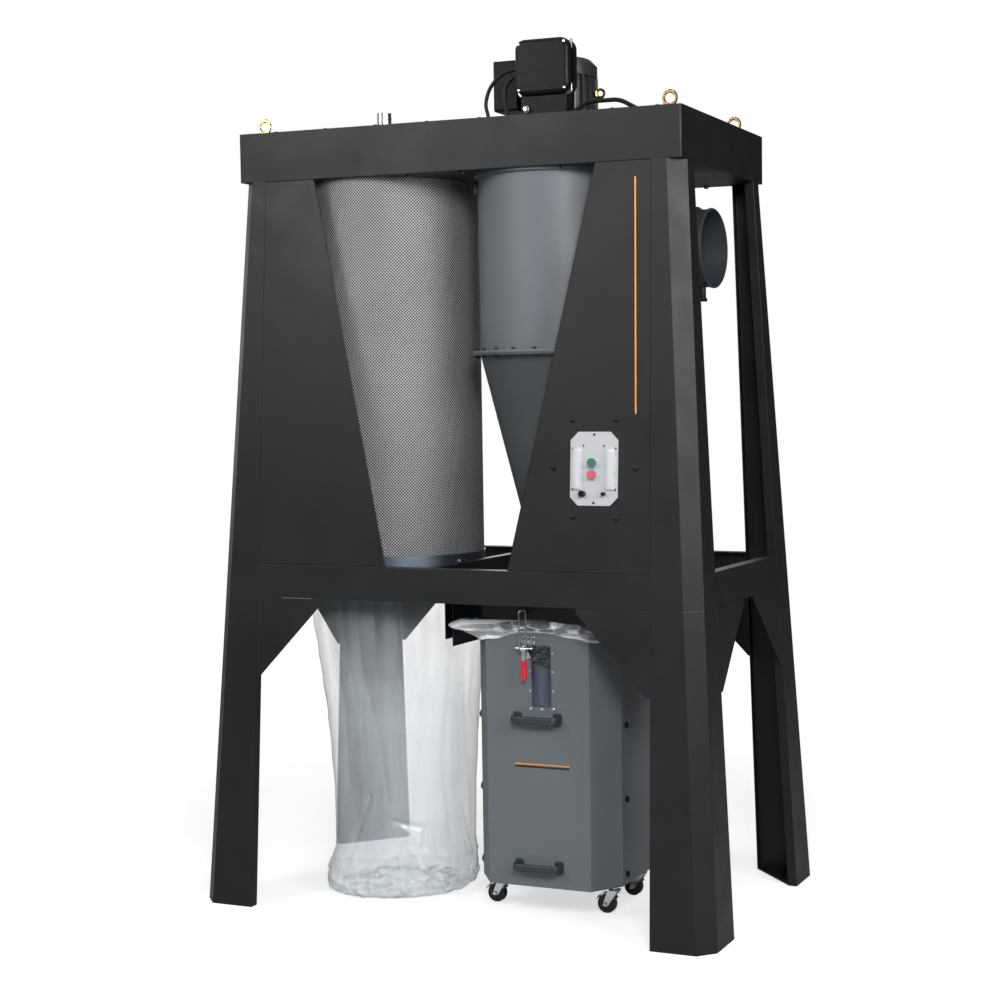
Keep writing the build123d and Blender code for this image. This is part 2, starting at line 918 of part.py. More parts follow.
# Control plate with its gauges, buttons and knobs
front = face_planes["front"]
plate_z = beam_head + plate_lift
button_levels = {"start": plate_z + button_pitch / 2, "stop": plate_z - button_pitch / 2}
with BuildPart() as plate:
    with BuildSketch(front) as plate_outline:
        with Locations((plate_x, plate_z * rise_y)):
            Rectangle(plate_width, plate_height)
        chamfer(plate_outline.vertices(), plate_cut)
    extrude(amount=plate_sheet)
    for level in button_levels.values():
        with BuildSketch(front.offset(plate_sheet)):
            with Locations((plate_x + button_x, level * rise_y)):
                Circle(button_ring)
                Circle(button_radius + button_gap, mode=Mode.SUBTRACT)
        extrude(amount=button_ring_height)
save(plate, "control_plate")

with BuildPart() as gauges:
    for way in (-1, 1):
        with BuildSketch(front.offset(plate_sheet)):
            with Locations((plate_x + way * tube_spread, plate_z * rise_y)):
                Rectangle(2 * tube_radius, tube_height)
        extrude(amount=tube_radius)
    chamfer(gauges.faces().sort_by(Axis.Y)[:2].edges(), tube_cut)
save(gauges, "gauge_tubes")

for button_name, level in button_levels.items():
    with BuildPart() as button:
        with BuildSketch(front.offset(plate_sheet + button_stroke)):
            with Locations((plate_x + button_x, level * rise_y)):
                Circle(button_radius)
        extrude(amount=button_height - button_stroke)
    save(button, f"{button_name}_button")

with BuildPart() as knobs:
    for way, radius in ((-1, knob_radius), (1, small_knob_radius)):
        with BuildSketch(front.offset(plate_sheet)):
            with Locations((plate_x + way * knob_spread, (plate_z - knob_drop) * rise_y)):
                Circle(radius)
        extrude(amount=knob_height)
save(knobs, "knobs")

# Lifting eyes, pipe stub and cables on the cover
ring_level = cover_head + eye_collar_height + eye_ring
with BuildPart() as eyes:
    for x in (-1, 1):
        for y, inset in ((-1, eye_inset), (1, eye_back_inset)):
            eye_x = x * (cover_width / 2 - eye_inset)
            eye_y = y * (cover_depth / 2 - inset)
            with BuildSketch(Plane((eye_x, eye_y, cover_head))):
                Circle(eye_collar_radius)
            extrude(amount=eye_collar_height)
            with BuildSketch(Plane((eye_x, eye_y, ring_level))):
                with Locations((eye_ring, 0)):
                    RegularPolygon(eye_wire, eye_sides)
            revolve(axis=Axis((eye_x, eye_y, ring_level), (0, 1, 0)))
save(eyes, "cover_eyebolts")

lift_x = cyclone_x + fin_radius + seat_gap
lift_level = fin_middle + lift_rise
with BuildPart() as lift_eye:
    with BuildSketch(Plane((lift_x, column_y, lift_level), (0, 1, 0), (1, 0, 0))):
        Circle(lift_collar_radius)
    extrude(amount=lift_collar_height)
    ring_x = lift_x + lift_collar_height + lift_ring
    with BuildSketch(Plane((ring_x, column_y, lift_level))):
        with Locations((lift_ring, 0)):
            RegularPolygon(lift_wire, eye_sides)
    revolve(axis=Axis((ring_x, column_y, lift_level), (0, 1, 0)))
save(lift_eye, "motor_lifting_eye")

with BuildPart() as stub:
    with BuildSketch(Plane((stub_x, stub_inset - cover_depth / 2, cover_head))):
        Circle(stub_radius)
        Circle(stub_radius - stub_wall, mode=Mode.SUBTRACT)
    extrude(amount=stub_height)
save(stub, "pipe_stub")

# Each run ends below the cover's top and is trimmed flush with it
cable_y = terminal_back - terminal_depth / 2
cable_start = terminal_x - terminal_width / 2
cable_head = terminal_middle + terminal_height / 2
with BuildPart() as cables:
    for out, drop, back, bend in (
        (outer_cable_out, outer_cable_drop, 0, outer_cable_bend),
        (inner_cable_out, inner_cable_drop, cable_pitch, inner_cable_bend),
    ):
        with BuildLine():
            run = FilletPolyline(
                (cable_start, cable_y + back, cable_head - drop),
                (cable_start - out * cable_run_share, cable_y + back, cable_head - drop),
                (cable_start - out, cable_y + back, cover_head + cable_knee),
                (cable_start - out + cable_tail, cable_y + back, cover_head - cable_radius),
                radius=bend,
            )
        with BuildSketch(Plane(run @ 0, z_dir=run % 0)):
            RegularPolygon(cable_radius, cable_sides)
        sweep(path=run)
    split(bisect_by=Plane.XY.offset(cover_head), keep=Keep.TOP)
save(cables, "motor_cables")

hose_start = cyclone_x + hose_offset
hose_y = hose_inset - cover_depth / 2
with BuildPart() as hose:
    with BuildLine():
        run = FilletPolyline(
            (hose_start, hose_y, cover_head - hose_radius),
            (hose_start + hose_ramp, hose_y, cover_head + hose_rise),
            (hose_start + hose_span - hose_ramp, hose_y, cover_head + hose_rise),
            (hose_start + hose_span, hose_y, cover_head - hose_radius),
            radius=hose_bend,
        )
    with BuildSketch(Plane(run @ 0, z_dir=run % 0)):
        RegularPolygon(hose_radius, cable_sides)
    sweep(path=run)
    split(bisect_by=Plane.XY.offset(cover_head), keep=Keep.TOP)
save(hose, "cover_hose")
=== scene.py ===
import json
import math

import bmesh
import bpy
from mathutils import Matrix, Vector, noise


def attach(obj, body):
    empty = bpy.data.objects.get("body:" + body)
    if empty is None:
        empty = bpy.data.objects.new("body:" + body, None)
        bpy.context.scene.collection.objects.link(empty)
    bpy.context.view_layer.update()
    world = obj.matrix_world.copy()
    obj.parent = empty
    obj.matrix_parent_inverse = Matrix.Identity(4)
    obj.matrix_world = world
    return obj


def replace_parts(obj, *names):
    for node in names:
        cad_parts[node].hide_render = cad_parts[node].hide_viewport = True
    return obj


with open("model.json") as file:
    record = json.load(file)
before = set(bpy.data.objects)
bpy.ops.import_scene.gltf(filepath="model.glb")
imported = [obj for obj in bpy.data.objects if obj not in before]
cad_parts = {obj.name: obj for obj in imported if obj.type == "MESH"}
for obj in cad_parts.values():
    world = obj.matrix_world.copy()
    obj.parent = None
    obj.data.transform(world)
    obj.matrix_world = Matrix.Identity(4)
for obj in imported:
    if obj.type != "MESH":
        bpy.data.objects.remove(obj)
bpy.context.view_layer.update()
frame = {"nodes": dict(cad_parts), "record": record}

nodes = frame["nodes"]
scene = bpy.context.scene
scene.view_settings.view_transform = "Standard"
ROOT = "stand"
# Without a seed, noise_vector takes its offsets from the clock
NOISE_SEED = 5
noise.seed_set(NOISE_SEED)
X, Y, Z = Vector((1, 0, 0)), Vector((0, 1, 0)), Vector((0, 0, 1))

# Places that several pieces share, in metres
FILTER = Vector((-0.385, -0.070, 0.0))
CYCLONE = Vector((0.255, -0.070, 0.0))
COVER_FOOT, COVER_HEAD = 2.425, 2.585
DRUM_X, DRUM_FACE = 0.255, -0.325
TERMINAL_X, TERMINAL_Z = 0.285, 2.7475
LATCH_X, LATCH_Z, PIN_Y = 0.224, 0.893, -0.351


# Shader helpers
def shader(name, **values):
    """A material with one Principled shader whose constant values sit on its own sockets."""
    mat = bpy.data.materials.new(name)
    mat.use_nodes = True
    tree = mat.node_tree
    bsdf = next(n for n in tree.nodes if n.type == "BSDF_PRINCIPLED")
    for key, value in values.items():
        socket = bsdf.inputs[key.replace("_", " ")]
        socket.default_value = (*value, 1.0) if isinstance(value, tuple) else value
    return mat, tree, bsdf


def node(tree, kind, **settings):
    n = tree.nodes.new(kind)
    for key, value in settings.items():
        setattr(n, key, value)
    return n


def place(tree):
    return node(tree, "ShaderNodeTexCoord").outputs["Object"]


def stretched(tree, vec, scale):
    m = node(tree, "ShaderNodeMapping")
    m.inputs["Scale"].default_value = scale
    tree.links.new(vec, m.inputs["Vector"])
    return m.outputs["Vector"]


def cloud(tree, vec, scale, detail=3.0, rough=0.55):
    n = node(tree, "ShaderNodeTexNoise")
    n.inputs["Scale"].default_value = scale
    n.inputs["Detail"].default_value = detail
    n.inputs["Roughness"].default_value = rough
    tree.links.new(vec, n.inputs["Vector"])
    return n.outputs["Fac"]


def spread(tree, fac, low, high, start=0.3, end=0.7):
    n = node(tree, "ShaderNodeMapRange")
    n.inputs["From Min"].default_value = start
    n.inputs["From Max"].default_value = end
    n.inputs["To Min"].default_value = low
    n.inputs["To Max"].default_value = high
    tree.links.new(fac, n.inputs["Value"])
    return n.outputs["Result"]


def tint(tree, fac, first, second):
    n = node(tree, "ShaderNodeMix", data_type="RGBA")
    sockets = [s for s in n.inputs if s.type == "RGBA"]
    for socket, value in zip(sockets, (first, second)):
        if isinstance(value, tuple):
            socket.default_value = (*value, 1.0)
        else:
            tree.links.new(value, socket)
    tree.links.new(fac, n.inputs["Factor"])
    return next(s for s in n.outputs if s.type == "RGBA")


def calc(tree, op, a, b=None, clamp=False):
    n = node(tree, "ShaderNodeMath", operation=op, use_clamp=clamp)
    for socket, value in zip(n.inputs, (a, b)):
        if value is None:
            continue
        if isinstance(value, (int, float)):
            socket.default_value = value
        else:
            tree.links.new(value, socket)
    return n.outputs[0]


def part_of(tree, vec, axis):
    n = node(tree, "ShaderNodeSeparateXYZ")
    tree.links.new(vec, n.inputs[0])
    return n.outputs[axis]


def relief(tree, bsdf, height, strength, distance):
    n = node(tree, "ShaderNodeBump")
    n.inputs["Strength"].default_value = strength
    n.inputs["Distance"].default_value = distance
    tree.links.new(height, n.inputs["Height"])
    tree.links.new(n.outputs["Normal"], bsdf.inputs["Normal"])


def shade(colour, factor):
    return tuple(min(1.0, c * factor) for c in colour)


# Materials
def paint(name, colour, rough, vary=0.10, peel=0.10, peel_scale=420.0, dust=0.0, **values):
    """Sprayed paint: slow tone changes, fine peel in the surface, uneven gloss, settled dust."""
    mat, tree, bsdf = shader(name, **values)
    vec = place(tree)
    slow = spread(tree, cloud(tree, vec, 2.3, 4.0), 0.0, 1.0)
    tone = tint(tree, slow, shade(colour, 1 - vary), shade(colour, 1 + vary))
    grime = spread(tree, cloud(tree, vec, 9.0, 6.0, 0.62), 0.0, 1.0, 0.42, 0.78)
    if dust:
        up = part_of(tree, node(tree, "ShaderNodeNewGeometry").outputs["Normal"], "Z")
        lies = calc(tree, "MULTIPLY", grime, spread(tree, up, 0.10, 1.0, 0.2, 0.95))
        tone = tint(tree, calc(tree, "MULTIPLY", lies, dust), tone, (0.30, 0.29, 0.27))
    tree.links.new(tone, bsdf.inputs["Base Color"])
    gloss = spread(tree, cloud(tree, vec, 5.0, 5.0), rough - 0.05, rough + 0.06)
    tree.links.new(calc(tree, "ADD", gloss, calc(tree, "MULTIPLY", grime, 0.07)), bsdf.inputs["Roughness"])
    relief(tree, bsdf, cloud(tree, vec, peel_scale, 2.0), peel, 0.0006)
    return mat


def metal(name, colour, rough, vary=0.12, brush=(300.0, 300.0, 300.0), bump=0.05, **values):
    """Bare or plated metal with a grain along one axis and slow stains."""
    mat, tree, bsdf = shader(name, Metallic=1.0, **values)
    vec = place(tree)
    stain = spread(tree, cloud(tree, vec, 14.0, 5.0), 0.0, 1.0)
    tone = tint(tree, stain, shade(colour, 1 - vary), shade(colour, 1 + vary * 0.6))
    tree.links.new(tone, bsdf.inputs["Base Color"])
    grain = cloud(tree, stretched(tree, vec, brush), 1.0, 3.0)
    tree.links.new(spread(tree, grain, max(0.02, rough - 0.06), rough + 0.10), bsdf.inputs["Roughness"])
    relief(tree, bsdf, grain, bump, 0.0004)
    return mat


def plastic(name, colour, rough, grain=0.06, grain_scale=900.0, vary=0.08, **values):
    mat, tree, bsdf = shader(name, **values)
    vec = place(tree)
    slow = spread(tree, cloud(tree, vec, 20.0, 4.0), 0.0, 1.0)
    tree.links.new(tint(tree, slow, shade(colour, 1 - vary), shade(colour, 1 + vary)), bsdf.inputs["Base Color"])
    gloss = spread(tree, cloud(tree, vec, 55.0, 5.0), max(0.03, rough - 0.04), rough + 0.05)
    tree.links.new(gloss, bsdf.inputs["Roughness"])
    relief(tree, bsdf, cloud(tree, vec, grain_scale, 2.0), grain, 0.0004)
    return mat


def perforated(name, centre, radius, count, row, hole):
    """Sheet steel with staggered round holes painted near black as the shade behind them, laid out round an upright
    axis.
    """
    mat, tree, bsdf = shader(name, Specular_IOR_Level=0.16)
    vec = place(tree)
    dx = calc(tree, "SUBTRACT", part_of(tree, vec, "X"), centre.x)
    dy = calc(tree, "SUBTRACT", part_of(tree, vec, "Y"), centre.y)
    turn = calc(tree, "MULTIPLY", calc(tree, "ARCTAN2", dy, dx), count / (2 * math.pi))
    level = calc(tree, "DIVIDE", part_of(tree, vec, "Z"), 2 * row)
    pitch = 2 * math.pi * radius / count
    gaps = []
    for shift in (0.0, 0.5):
        u = calc(tree, "SUBTRACT", calc(tree, "FRACT", calc(tree, "ADD", turn, shift + 1000.0)), 0.5)
        v = calc(tree, "SUBTRACT", calc(tree, "FRACT", calc(tree, "ADD", level, shift)), 0.5)
        u = calc(tree, "MULTIPLY", u, pitch)
        v = calc(tree, "MULTIPLY", v, 2 * row)
        square = calc(tree, "ADD", calc(tree, "MULTIPLY", u, u), calc(tree, "MULTIPLY", v, v))
        gaps.append(calc(tree, "SQRT", square))
    solid = spread(tree, calc(tree, "MINIMUM", gaps[0], gaps[1]), 0.0, 1.0, hole * 0.88, hole * 1.08)
    stain = spread(tree, cloud(tree, vec, 3.0, 5.0), 0.0, 1.0)
    steel = tint(tree, stain, (0.415, 0.42, 0.435), (0.51, 0.515, 0.53))
    # Painted shade: the hole discs take a near-black, non-metallic colour in place of real openings
    tree.links.new(tint(tree, solid, (0.016, 0.017, 0.019), steel), bsdf.inputs["Base Color"])
    tree.links.new(spread(tree, solid, 0.0, 0.20, 0.0, 1.0), bsdf.inputs["Metallic"])
    tree.links.new(spread(tree, cloud(tree, vec, 60.0, 4.0), 0.46, 0.58), bsdf.inputs["Roughness"])
    relief(tree, bsdf, solid, 0.6, 0.0012)
    return mat


def film(name, colour, clear, rough, edge, fold_and_highlight_milk, crinkle, fine, head=0.0, detail=3.0):
    """Thin plastic film: see-through where it is flat, milky along folds and painted highlights and at its turned
    edges, thinned towards its top by head as painted shade.
    """
    mat, tree, bsdf = shader(name, Base_Color=colour, IOR=1.5)
    vec = place(tree)
    facing = node(tree, "ShaderNodeLayerWeight")
    facing.inputs["Blend"].default_value = 0.35
    fold_and_highlight = node(tree, "ShaderNodeAttribute", attribute_name="fold_and_highlight").outputs["Fac"]
    haze = spread(tree, cloud(tree, stretched(tree, vec, (9.0, 9.0, 1.6)), 1.0, 4.0), -0.06, 0.08)
    streak = spread(tree, cloud(tree, stretched(tree, vec, (17.0, 17.0, 0.9)), 1.0, 2.0), -0.06, 0.06)
    # Painted shade: head changes the alpha from z 0.62 to 1.0; a negative head thins the film at its top so it reads
    # darker, as in the shade under the beam
    high = spread(tree, part_of(tree, vec, "Z"), 0.0, head, 0.62, 1.0)
    haze = calc(tree, "ADD", calc(tree, "ADD", haze, streak), high)
    body = calc(tree, "ADD", calc(tree, "MULTIPLY", fold_and_highlight, fold_and_highlight_milk), haze)
    rim = calc(tree, "MULTIPLY", calc(tree, "POWER", facing.outputs["Facing"], 3.0), edge)
    tree.links.new(calc(tree, "ADD", calc(tree, "ADD", body, rim), clear, True), bsdf.inputs["Alpha"])
    gloss = spread(tree, cloud(tree, vec, 40.0, 4.0), max(0.04, rough - 0.03), rough + 0.06)
    tree.links.new(gloss, bsdf.inputs["Roughness"])
    relief(tree, bsdf, cloud(tree, stretched(tree, vec, fine), 1.0, detail, 0.5), crinkle, 0.004)
    return mat


def clear_plastic(name, colour, alpha, rough):
    mat, tree, bsdf = shader(name, Base_Color=colour, Specular_IOR_Level=0.7, Coat_Weight=0.3)
    vec = place(tree)
    facing = node(tree, "ShaderNodeLayerWeight")
    facing.inputs["Blend"].default_value = 0.4
    rim = calc(tree, "MULTIPLY", calc(tree, "POWER", facing.outputs["Facing"], 2.0), 0.5)
    haze = spread(tree, cloud(tree, vec, 70.0, 3.0), -0.03, 0.04)
    tree.links.new(calc(tree, "ADD", calc(tree, "ADD", rim, haze), alpha, True), bsdf.inputs["Alpha"])
    tree.links.new(spread(tree, cloud(tree, vec, 90.0, 3.0), rough, rough + 0.06), bsdf.inputs["Roughness"])
    return mat


def window_pane(name, edge, middle, head):
    """Smoked pane with a paler streak down its middle as a painted reflection, and a near-black head painted as the
    shade inside the drum, with lighter streaks for the liner's folds.
    """
    mat, tree, bsdf = shader(name, Coat_Weight=0.4, Specular_IOR_Level=0.4)
    vec = place(tree)
    # Painted reflection: the pane is paler in a streak about x 0.274
    aside = calc(tree, "ABSOLUTE", calc(tree, "SUBTRACT", part_of(tree, vec, "X"), 0.274))
    ripple = spread(tree, cloud(tree, stretched(tree, vec, (160.0, 1.0, 12.0)), 1.0, 3.0), -0.008, 0.008)
    tone = tint(tree, spread(tree, calc(tree, "ADD", aside, ripple), 0.0, 1.0, 0.004, 0.028), middle, edge)
    # Painted shade: above z 0.83 the pane turns near black, with lighter streaks for the liner's folds
    wave = spread(tree, cloud(tree, stretched(tree, vec, (30.0, 1.0, 40.0)), 1.0, 3.0), -0.02, 0.02)
    folded = spread(tree, calc(tree, "ADD", part_of(tree, vec, "Z"), wave), 0.0, 1.0, 0.826, 0.842)
    creases = cloud(tree, stretched(tree, vec, (60.0, 1.0, 130.0)), 1.0, 4.0)
    dark = tint(tree, spread(tree, creases, 0.0, 1.0, 0.45, 0.75), head, (0.10, 0.11, 0.12))
    tree.links.new(tint(tree, folded, tone, dark), bsdf.inputs["Base Color"])
    tree.links.new(spread(tree, cloud(tree, vec, 60.0, 3.0), 0.14, 0.24), bsdf.inputs["Roughness"])
    return mat


# One material per slot, and some of their own for pieces and nodes that look different
SATIN = 0.40
M = {
    "black_paint": paint(
        "black_powder_coat", (0.0050, 0.0051, 0.0056), 0.46, 0.10, 0.14, 620.0, 0.03, Specular_IOR_Level=SATIN,
    ),
    "grey_paint": paint(
        "grey_satin_paint", (0.116, 0.130, 0.144), 0.42, 0.06, 0.07, 420.0, 0.03, Specular_IOR_Level=SATIN,
    ),
    "cone_paint": paint(
        "cone_satin_paint", (0.050, 0.060, 0.064), 0.42, 0.07, 0.07, 420.0, 0.03, Specular_IOR_Level=SATIN,
    ),
    # Painted shade: the inlet collar and its bead get a darker copy of the grey paint, for the shade inside the pipe
    "inlet_painted_shade": paint(
        "inlet_dark_painted_shade", (0.028, 0.034, 0.041), 0.42, 0.08, 0.07, 420.0, 0.03, Specular_IOR_Level=SATIN,
    ),
    "perforated_steel": perforated("perforated_steel", FILTER, 0.285, 180, 0.0052, 0.0031),
    "band_steel": metal("band_steel", (0.195, 0.235, 0.285), 0.44, 0.10, (40.0, 40.0, 900.0)),
    "motor_paint": paint("motor_enamel", (0.022, 0.0225, 0.025), 0.36, 0.12, 0.14, 260.0, 0.05),
    "black_plastic": plastic("black_gloss_plastic", (0.008, 0.0082, 0.0092), 0.13, 0.02, 300.0),
    "switch_plastic": plastic("grey_box_plastic", (0.010, 0.0102, 0.012), 0.50, 0.10, Specular_IOR_Level=0.13),
    "terminal_plastic": plastic("terminal_enamel", (0.006, 0.0062, 0.007), 0.32, 0.05, 500.0, Specular_IOR_Level=0.10),
    "cable_rubber": plastic("cable_rubber", (0.006, 0.006, 0.007), 0.46, 0.12, 1400.0, Specular_IOR_Level=0.2),
    "yellow_zinc": metal("yellow_zinc", (0.66, 0.46, 0.19), 0.24, 0.22),
    "bare_steel": metal("bare_steel", (0.52, 0.53, 0.54), 0.28, 0.14),
    "dark_bolt": metal("blackened_steel", (0.040, 0.041, 0.044), 0.36, 0.20),
    "zinc_bolt": metal("zinc_steel", (0.74, 0.75, 0.76), 0.28, 0.14),
    "rim_metal": metal("cast_aluminium", (0.44, 0.45, 0.47), 0.36, 0.14),
    # The pane's second colour is its painted reflection, its third the painted shade at its head
    "smoked_glass": window_pane("smoked_window", (0.024, 0.037, 0.060), (0.064, 0.080, 0.106), (0.010, 0.013, 0.016)),
    "handle_paint": plastic("handle_plastic", (0.026, 0.028, 0.033), 0.40, 0.14, 700.0),
    "chrome": metal("chrome", (0.80, 0.805, 0.82), 0.10, 0.08),
    "red_plastic": plastic("red_plastic", (0.56, 0.016, 0.030), 0.26, 0.04, 500.0),
    "green_plastic": plastic("green_plastic", (0.040, 0.165, 0.100), 0.26, 0.04, 500.0),
    "stop_plastic": plastic("stop_plastic", (0.46, 0.100, 0.125), 0.26, 0.04, 500.0),
    "white_plate": paint("white_plate_paint", (0.42, 0.43, 0.45), 0.34, 0.05, 0.05, 500.0, 0.02),
    "wheel_rubber": plastic("wheel_rubber", (0.010, 0.0102, 0.011), 0.34, 0.16, 420.0),
    "orange": plastic("orange_stripe", (0.68, 0.26, 0.035), 0.42, 0.06, 600.0),
    # Painted shadow colour for the line under the drum's orange stripe
    "stripe_shadow_paint": plastic("dark_stripe_shadow", (0.012, 0.012, 0.014), 0.50, 0.04, 600.0),
    # The bag film's head of -0.27 is painted shade on its top
    "bag_film": film("bag_film", (0.70, 0.765, 0.805), 0.36, 0.22, 0.45, 0.50, 0.20, (11.0, 11.0, 4.0), -0.27, 1.0),
    "liner_film": film("liner_film", (0.92, 0.95, 0.98), 0.12, 0.07, 0.25, 0.85, 0.30, (46.0, 46.0, 60.0)),
    "clear_acrylic": clear_plastic("clear_acrylic", (0.80, 0.82, 0.84), 0.40, 0.10),
}

# The record's slots give the nodes their materials; folded and cast edges are eased
SLOT_OF = {s["node"]: s["material_slot"] for s in frame["record"]["subparts"]}
LOOK = {
    "switch_box": "switch_plastic", "terminal_box": "terminal_plastic",
    "inlet_collar": "inlet_painted_shade", "stop_button": "stop_plastic",
}
EASED = {
    "drum": 0.0025, "drum_lid": 0.002, "cover": 0.002, "terminal_box": 0.003, "switch_box": 0.0025,
    "left_front_panel": 0.0036, "right_front_panel": 0.0036, "gussets": 0.0014, "centre_member": 0.0012,
    "control_plate": 0.001, "drum_window": 0.0012, "latch_lever": 0.001, "knobs": 0.0015, "motor": 0.0015,
    "start_button": 0.002, "stop_button": 0.003, "drum_handles": 0.002, "caster_plates": 0.001,
}
LEG_EASE, WHEEL_EASE = 0.0015, 0.004
WELD_GAP = 0.00002
EASE_ANGLE = math.radians(34)
for name, obj in nodes.items():
    obj.data.materials.clear()
    # A slot without a material is the films', whose nodes are replaced further down
    obj.data.materials.append(M.get(LOOK.get(name, SLOT_OF[name]), M["bag_film"]))
    width = EASED.get(name, 0)
    if name.endswith(("_leg", "_beam")):
        width = LEG_EASE
    elif name.endswith("_wheel"):
        width = WHEEL_EASE
    if width:
        weld = obj.modifiers.new("weld", "WELD")
        weld.merge_threshold = WELD_GAP
        ease = obj.modifiers.new("ease", "BEVEL")
        ease.width = width
        ease.segments = 2
        ease.limit_method = "ANGLE"
        ease.angle_limit = EASE_ANGLE
        ease.harden_normals = False


# Mesh helpers
def piece(name, bm, mat, body=ROOT, angle=0.6):
    bmesh.ops.recalc_face_normals(bm, faces=bm.faces)
    mesh = bpy.data.meshes.new(name)
    for face in bm.faces:
        face.smooth = True
    for edge in bm.edges:
        if angle and len(edge.link_faces) == 2 and edge.calc_face_angle(0.0) > angle:
            edge.smooth = False
    bm.to_mesh(mesh)
    bm.free()
    obj = bpy.data.objects.new(name, mesh)
    scene.collection.objects.link(obj)
    mesh.materials.append(M[mat])
    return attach(obj, body)


def turn_to(spot, axis, roll=0.0):
    """A frame at a spot whose Z points along an axis."""
    quat = Vector(axis).normalized().to_track_quat("Z", "Y")
    return Matrix.Translation(spot) @ quat.to_matrix().to_4x4() @ Matrix.Rotation(roll, 4, "Z")


def frame_at(spot, across, up):
    """A frame at a spot from its X and Y directions."""
    across, up = Vector(across).normalized(), Vector(up).normalized()
    return Matrix.Translation(spot) @ Matrix((across, up, across.cross(up))).transposed().to_4x4()


def skin(bm, rows, closed=True):
    """Faces between rows of points; a row of one point closes the end."""
    for a, b in zip(rows, rows[1:]):
        count = max(len(a), len(b))
        for i in range(count if closed else count - 1):
            j = (i + 1) % count
            if len(a) == 1:
                bm.faces.new((a[0], b[j], b[i]))
            elif len(b) == 1:
                bm.faces.new((a[i], a[j], b[0]))
            else:
                bm.faces.new((a[i], a[j], b[j], b[i]))


def lathe(bm, at, profile, sides=16):
    """Turns (radius, height) pairs round the local Z axis."""
    rows = []
    for radius, height in profile:
        if radius < 1e-7:
            rows.append([bm.verts.new(at @ Vector((0, 0, height)))])
            continue
        angles = [2 * math.pi * i / sides for i in range(sides)]
        rows.append([bm.verts.new(at @ Vector((radius * math.cos(a), radius * math.sin(a), height))) for a in angles])
    skin(bm, rows)


def hex_bolt(bm, spot, axis, size, roll=0.3):
    at = turn_to(spot, axis, roll)
    disc = [(size * 1.25, -0.0005), (size * 1.25, size * 0.16), (size * 1.15, size * 0.24), (0, size * 0.24)]
    lathe(bm, at, disc, 20)
    lathe(bm, at, [(size, size * 0.24), (size, size * 0.86), (size * 0.86, size), (0, size)], 6)


def button_bolt(bm, spot, axis, size):
    head = [(1, -0.05), (1, 0.18), (0.86, 0.46), (0.55, 0.60), (0.42, 0.60), (0.38, 0.34), (0, 0.34)]
    lathe(bm, turn_to(spot, axis), [(r * size, h * size) for r, h in head], 14)


def pan_screw(bm, spot, axis, size):
    head = [(1, -0.08), (1, 0.22), (0.72, 0.50), (0, 0.58)]
    lathe(bm, turn_to(spot, axis), [(r * size, h * size) for r, h in head], 12)


def slab(bm, at, outline, depth, ease=0.0):
    """A plate from an outline in the local XY plane, with an eased front edge."""
    reach = max(max(abs(x), abs(y)) for x, y in outline)
    levels = [(0.0, 1.0), (depth - ease, 1.0)]
    if ease:
        levels.append((depth, 1.0 - ease / reach))
    rows = [[bm.verts.new(at @ Vector((x * k, y * k, z))) for x, y in outline] for z, k in levels]
    skin(bm, rows)
    bm.faces.new(rows[-1])
    bm.faces.new(list(reversed(rows[0])))


def rounded(width, height, radius, steps=5):
    points = []
    for sx, sy, start in ((1, 1, 0), (-1, 1, 90), (-1, -1, 180), (1, -1, 270)):
        for k in range(steps + 1):
            a = math.radians(start + 90 * k / steps)
            x = sx * (width / 2 - radius) + radius * math.cos(a)
            y = sy * (height / 2 - radius) + radius * math.sin(a)
            points.append((x, y))
    return points


def strip(bm, a, b, across, out, half):
    """A thin raised line between two points."""
    lift, steps = 0.0006, 24
    section = ((-1, 0), (-0.7, lift), (0.7, lift), (1, 0))
    rows = []
    for k in range(steps + 1):
        p = a.lerp(b, k / steps)
        rows.append([bm.verts.new(p + across * (half * s) + out * h) for s, h in section])
    skin(bm, rows, closed=False)


def tube(bm, points, radius, sides=12, steps=7):
    """A round cable along a smooth line through points."""
    points = [Vector(p) for p in points]
    points = [points[0] * 2 - points[1]] + points + [points[-1] * 2 - points[-2]]
    line = []
    for a, b, c, d in zip(points, points[1:], points[2:], points[3:]):
        for k in range(steps):
            t = k / steps
            second, third = a * 2 - b * 5 + c * 4 - d, b * 3 - a - c * 3 + d
            line.append((b * 2 + (c - a) * t + second * t * t + third * t ** 3) / 2)
    line.append(points[-2])
    rows = []
    for k, p in enumerate(line):
        run = (line[min(k + 1, len(line) - 1)] - line[max(k - 1, 0)]).normalized()
        aside = run.cross(Y).normalized()
        over = run.cross(aside)
        turns = [2 * math.pi * i / sides for i in range(sides)]
        rows.append([bm.verts.new(p + (aside * math.cos(a) + over * math.sin(a)) * radius) for a in turns])
    skin(bm, rows)
    bm.faces.new(rows[0])
    bm.faces.new(rows[-1])


# The stand's front faces lean back: a point on that plane from x and z, and its directions
BASE_Y, LEAN = -0.526, 0.144 / 2.425
FRONT = Vector((0, -2.425, 0.144)).normalized()
FRONT_UP = Vector((0, 0.144, 2.425)).normalized()


def on_front(x, z, out=0.0):
    return Vector((x, BASE_Y + LEAN * z, z)) + FRONT * out


# Collection bag: a film tube that hangs from the collar and stands on the floor.
# Angles are in degrees from the direction that faces the viewer of the photo, + to the right.
FACING = math.radians(-59.6)
BAG_TOP, BAG_MEAN_RADIUS = 1.078, 0.26
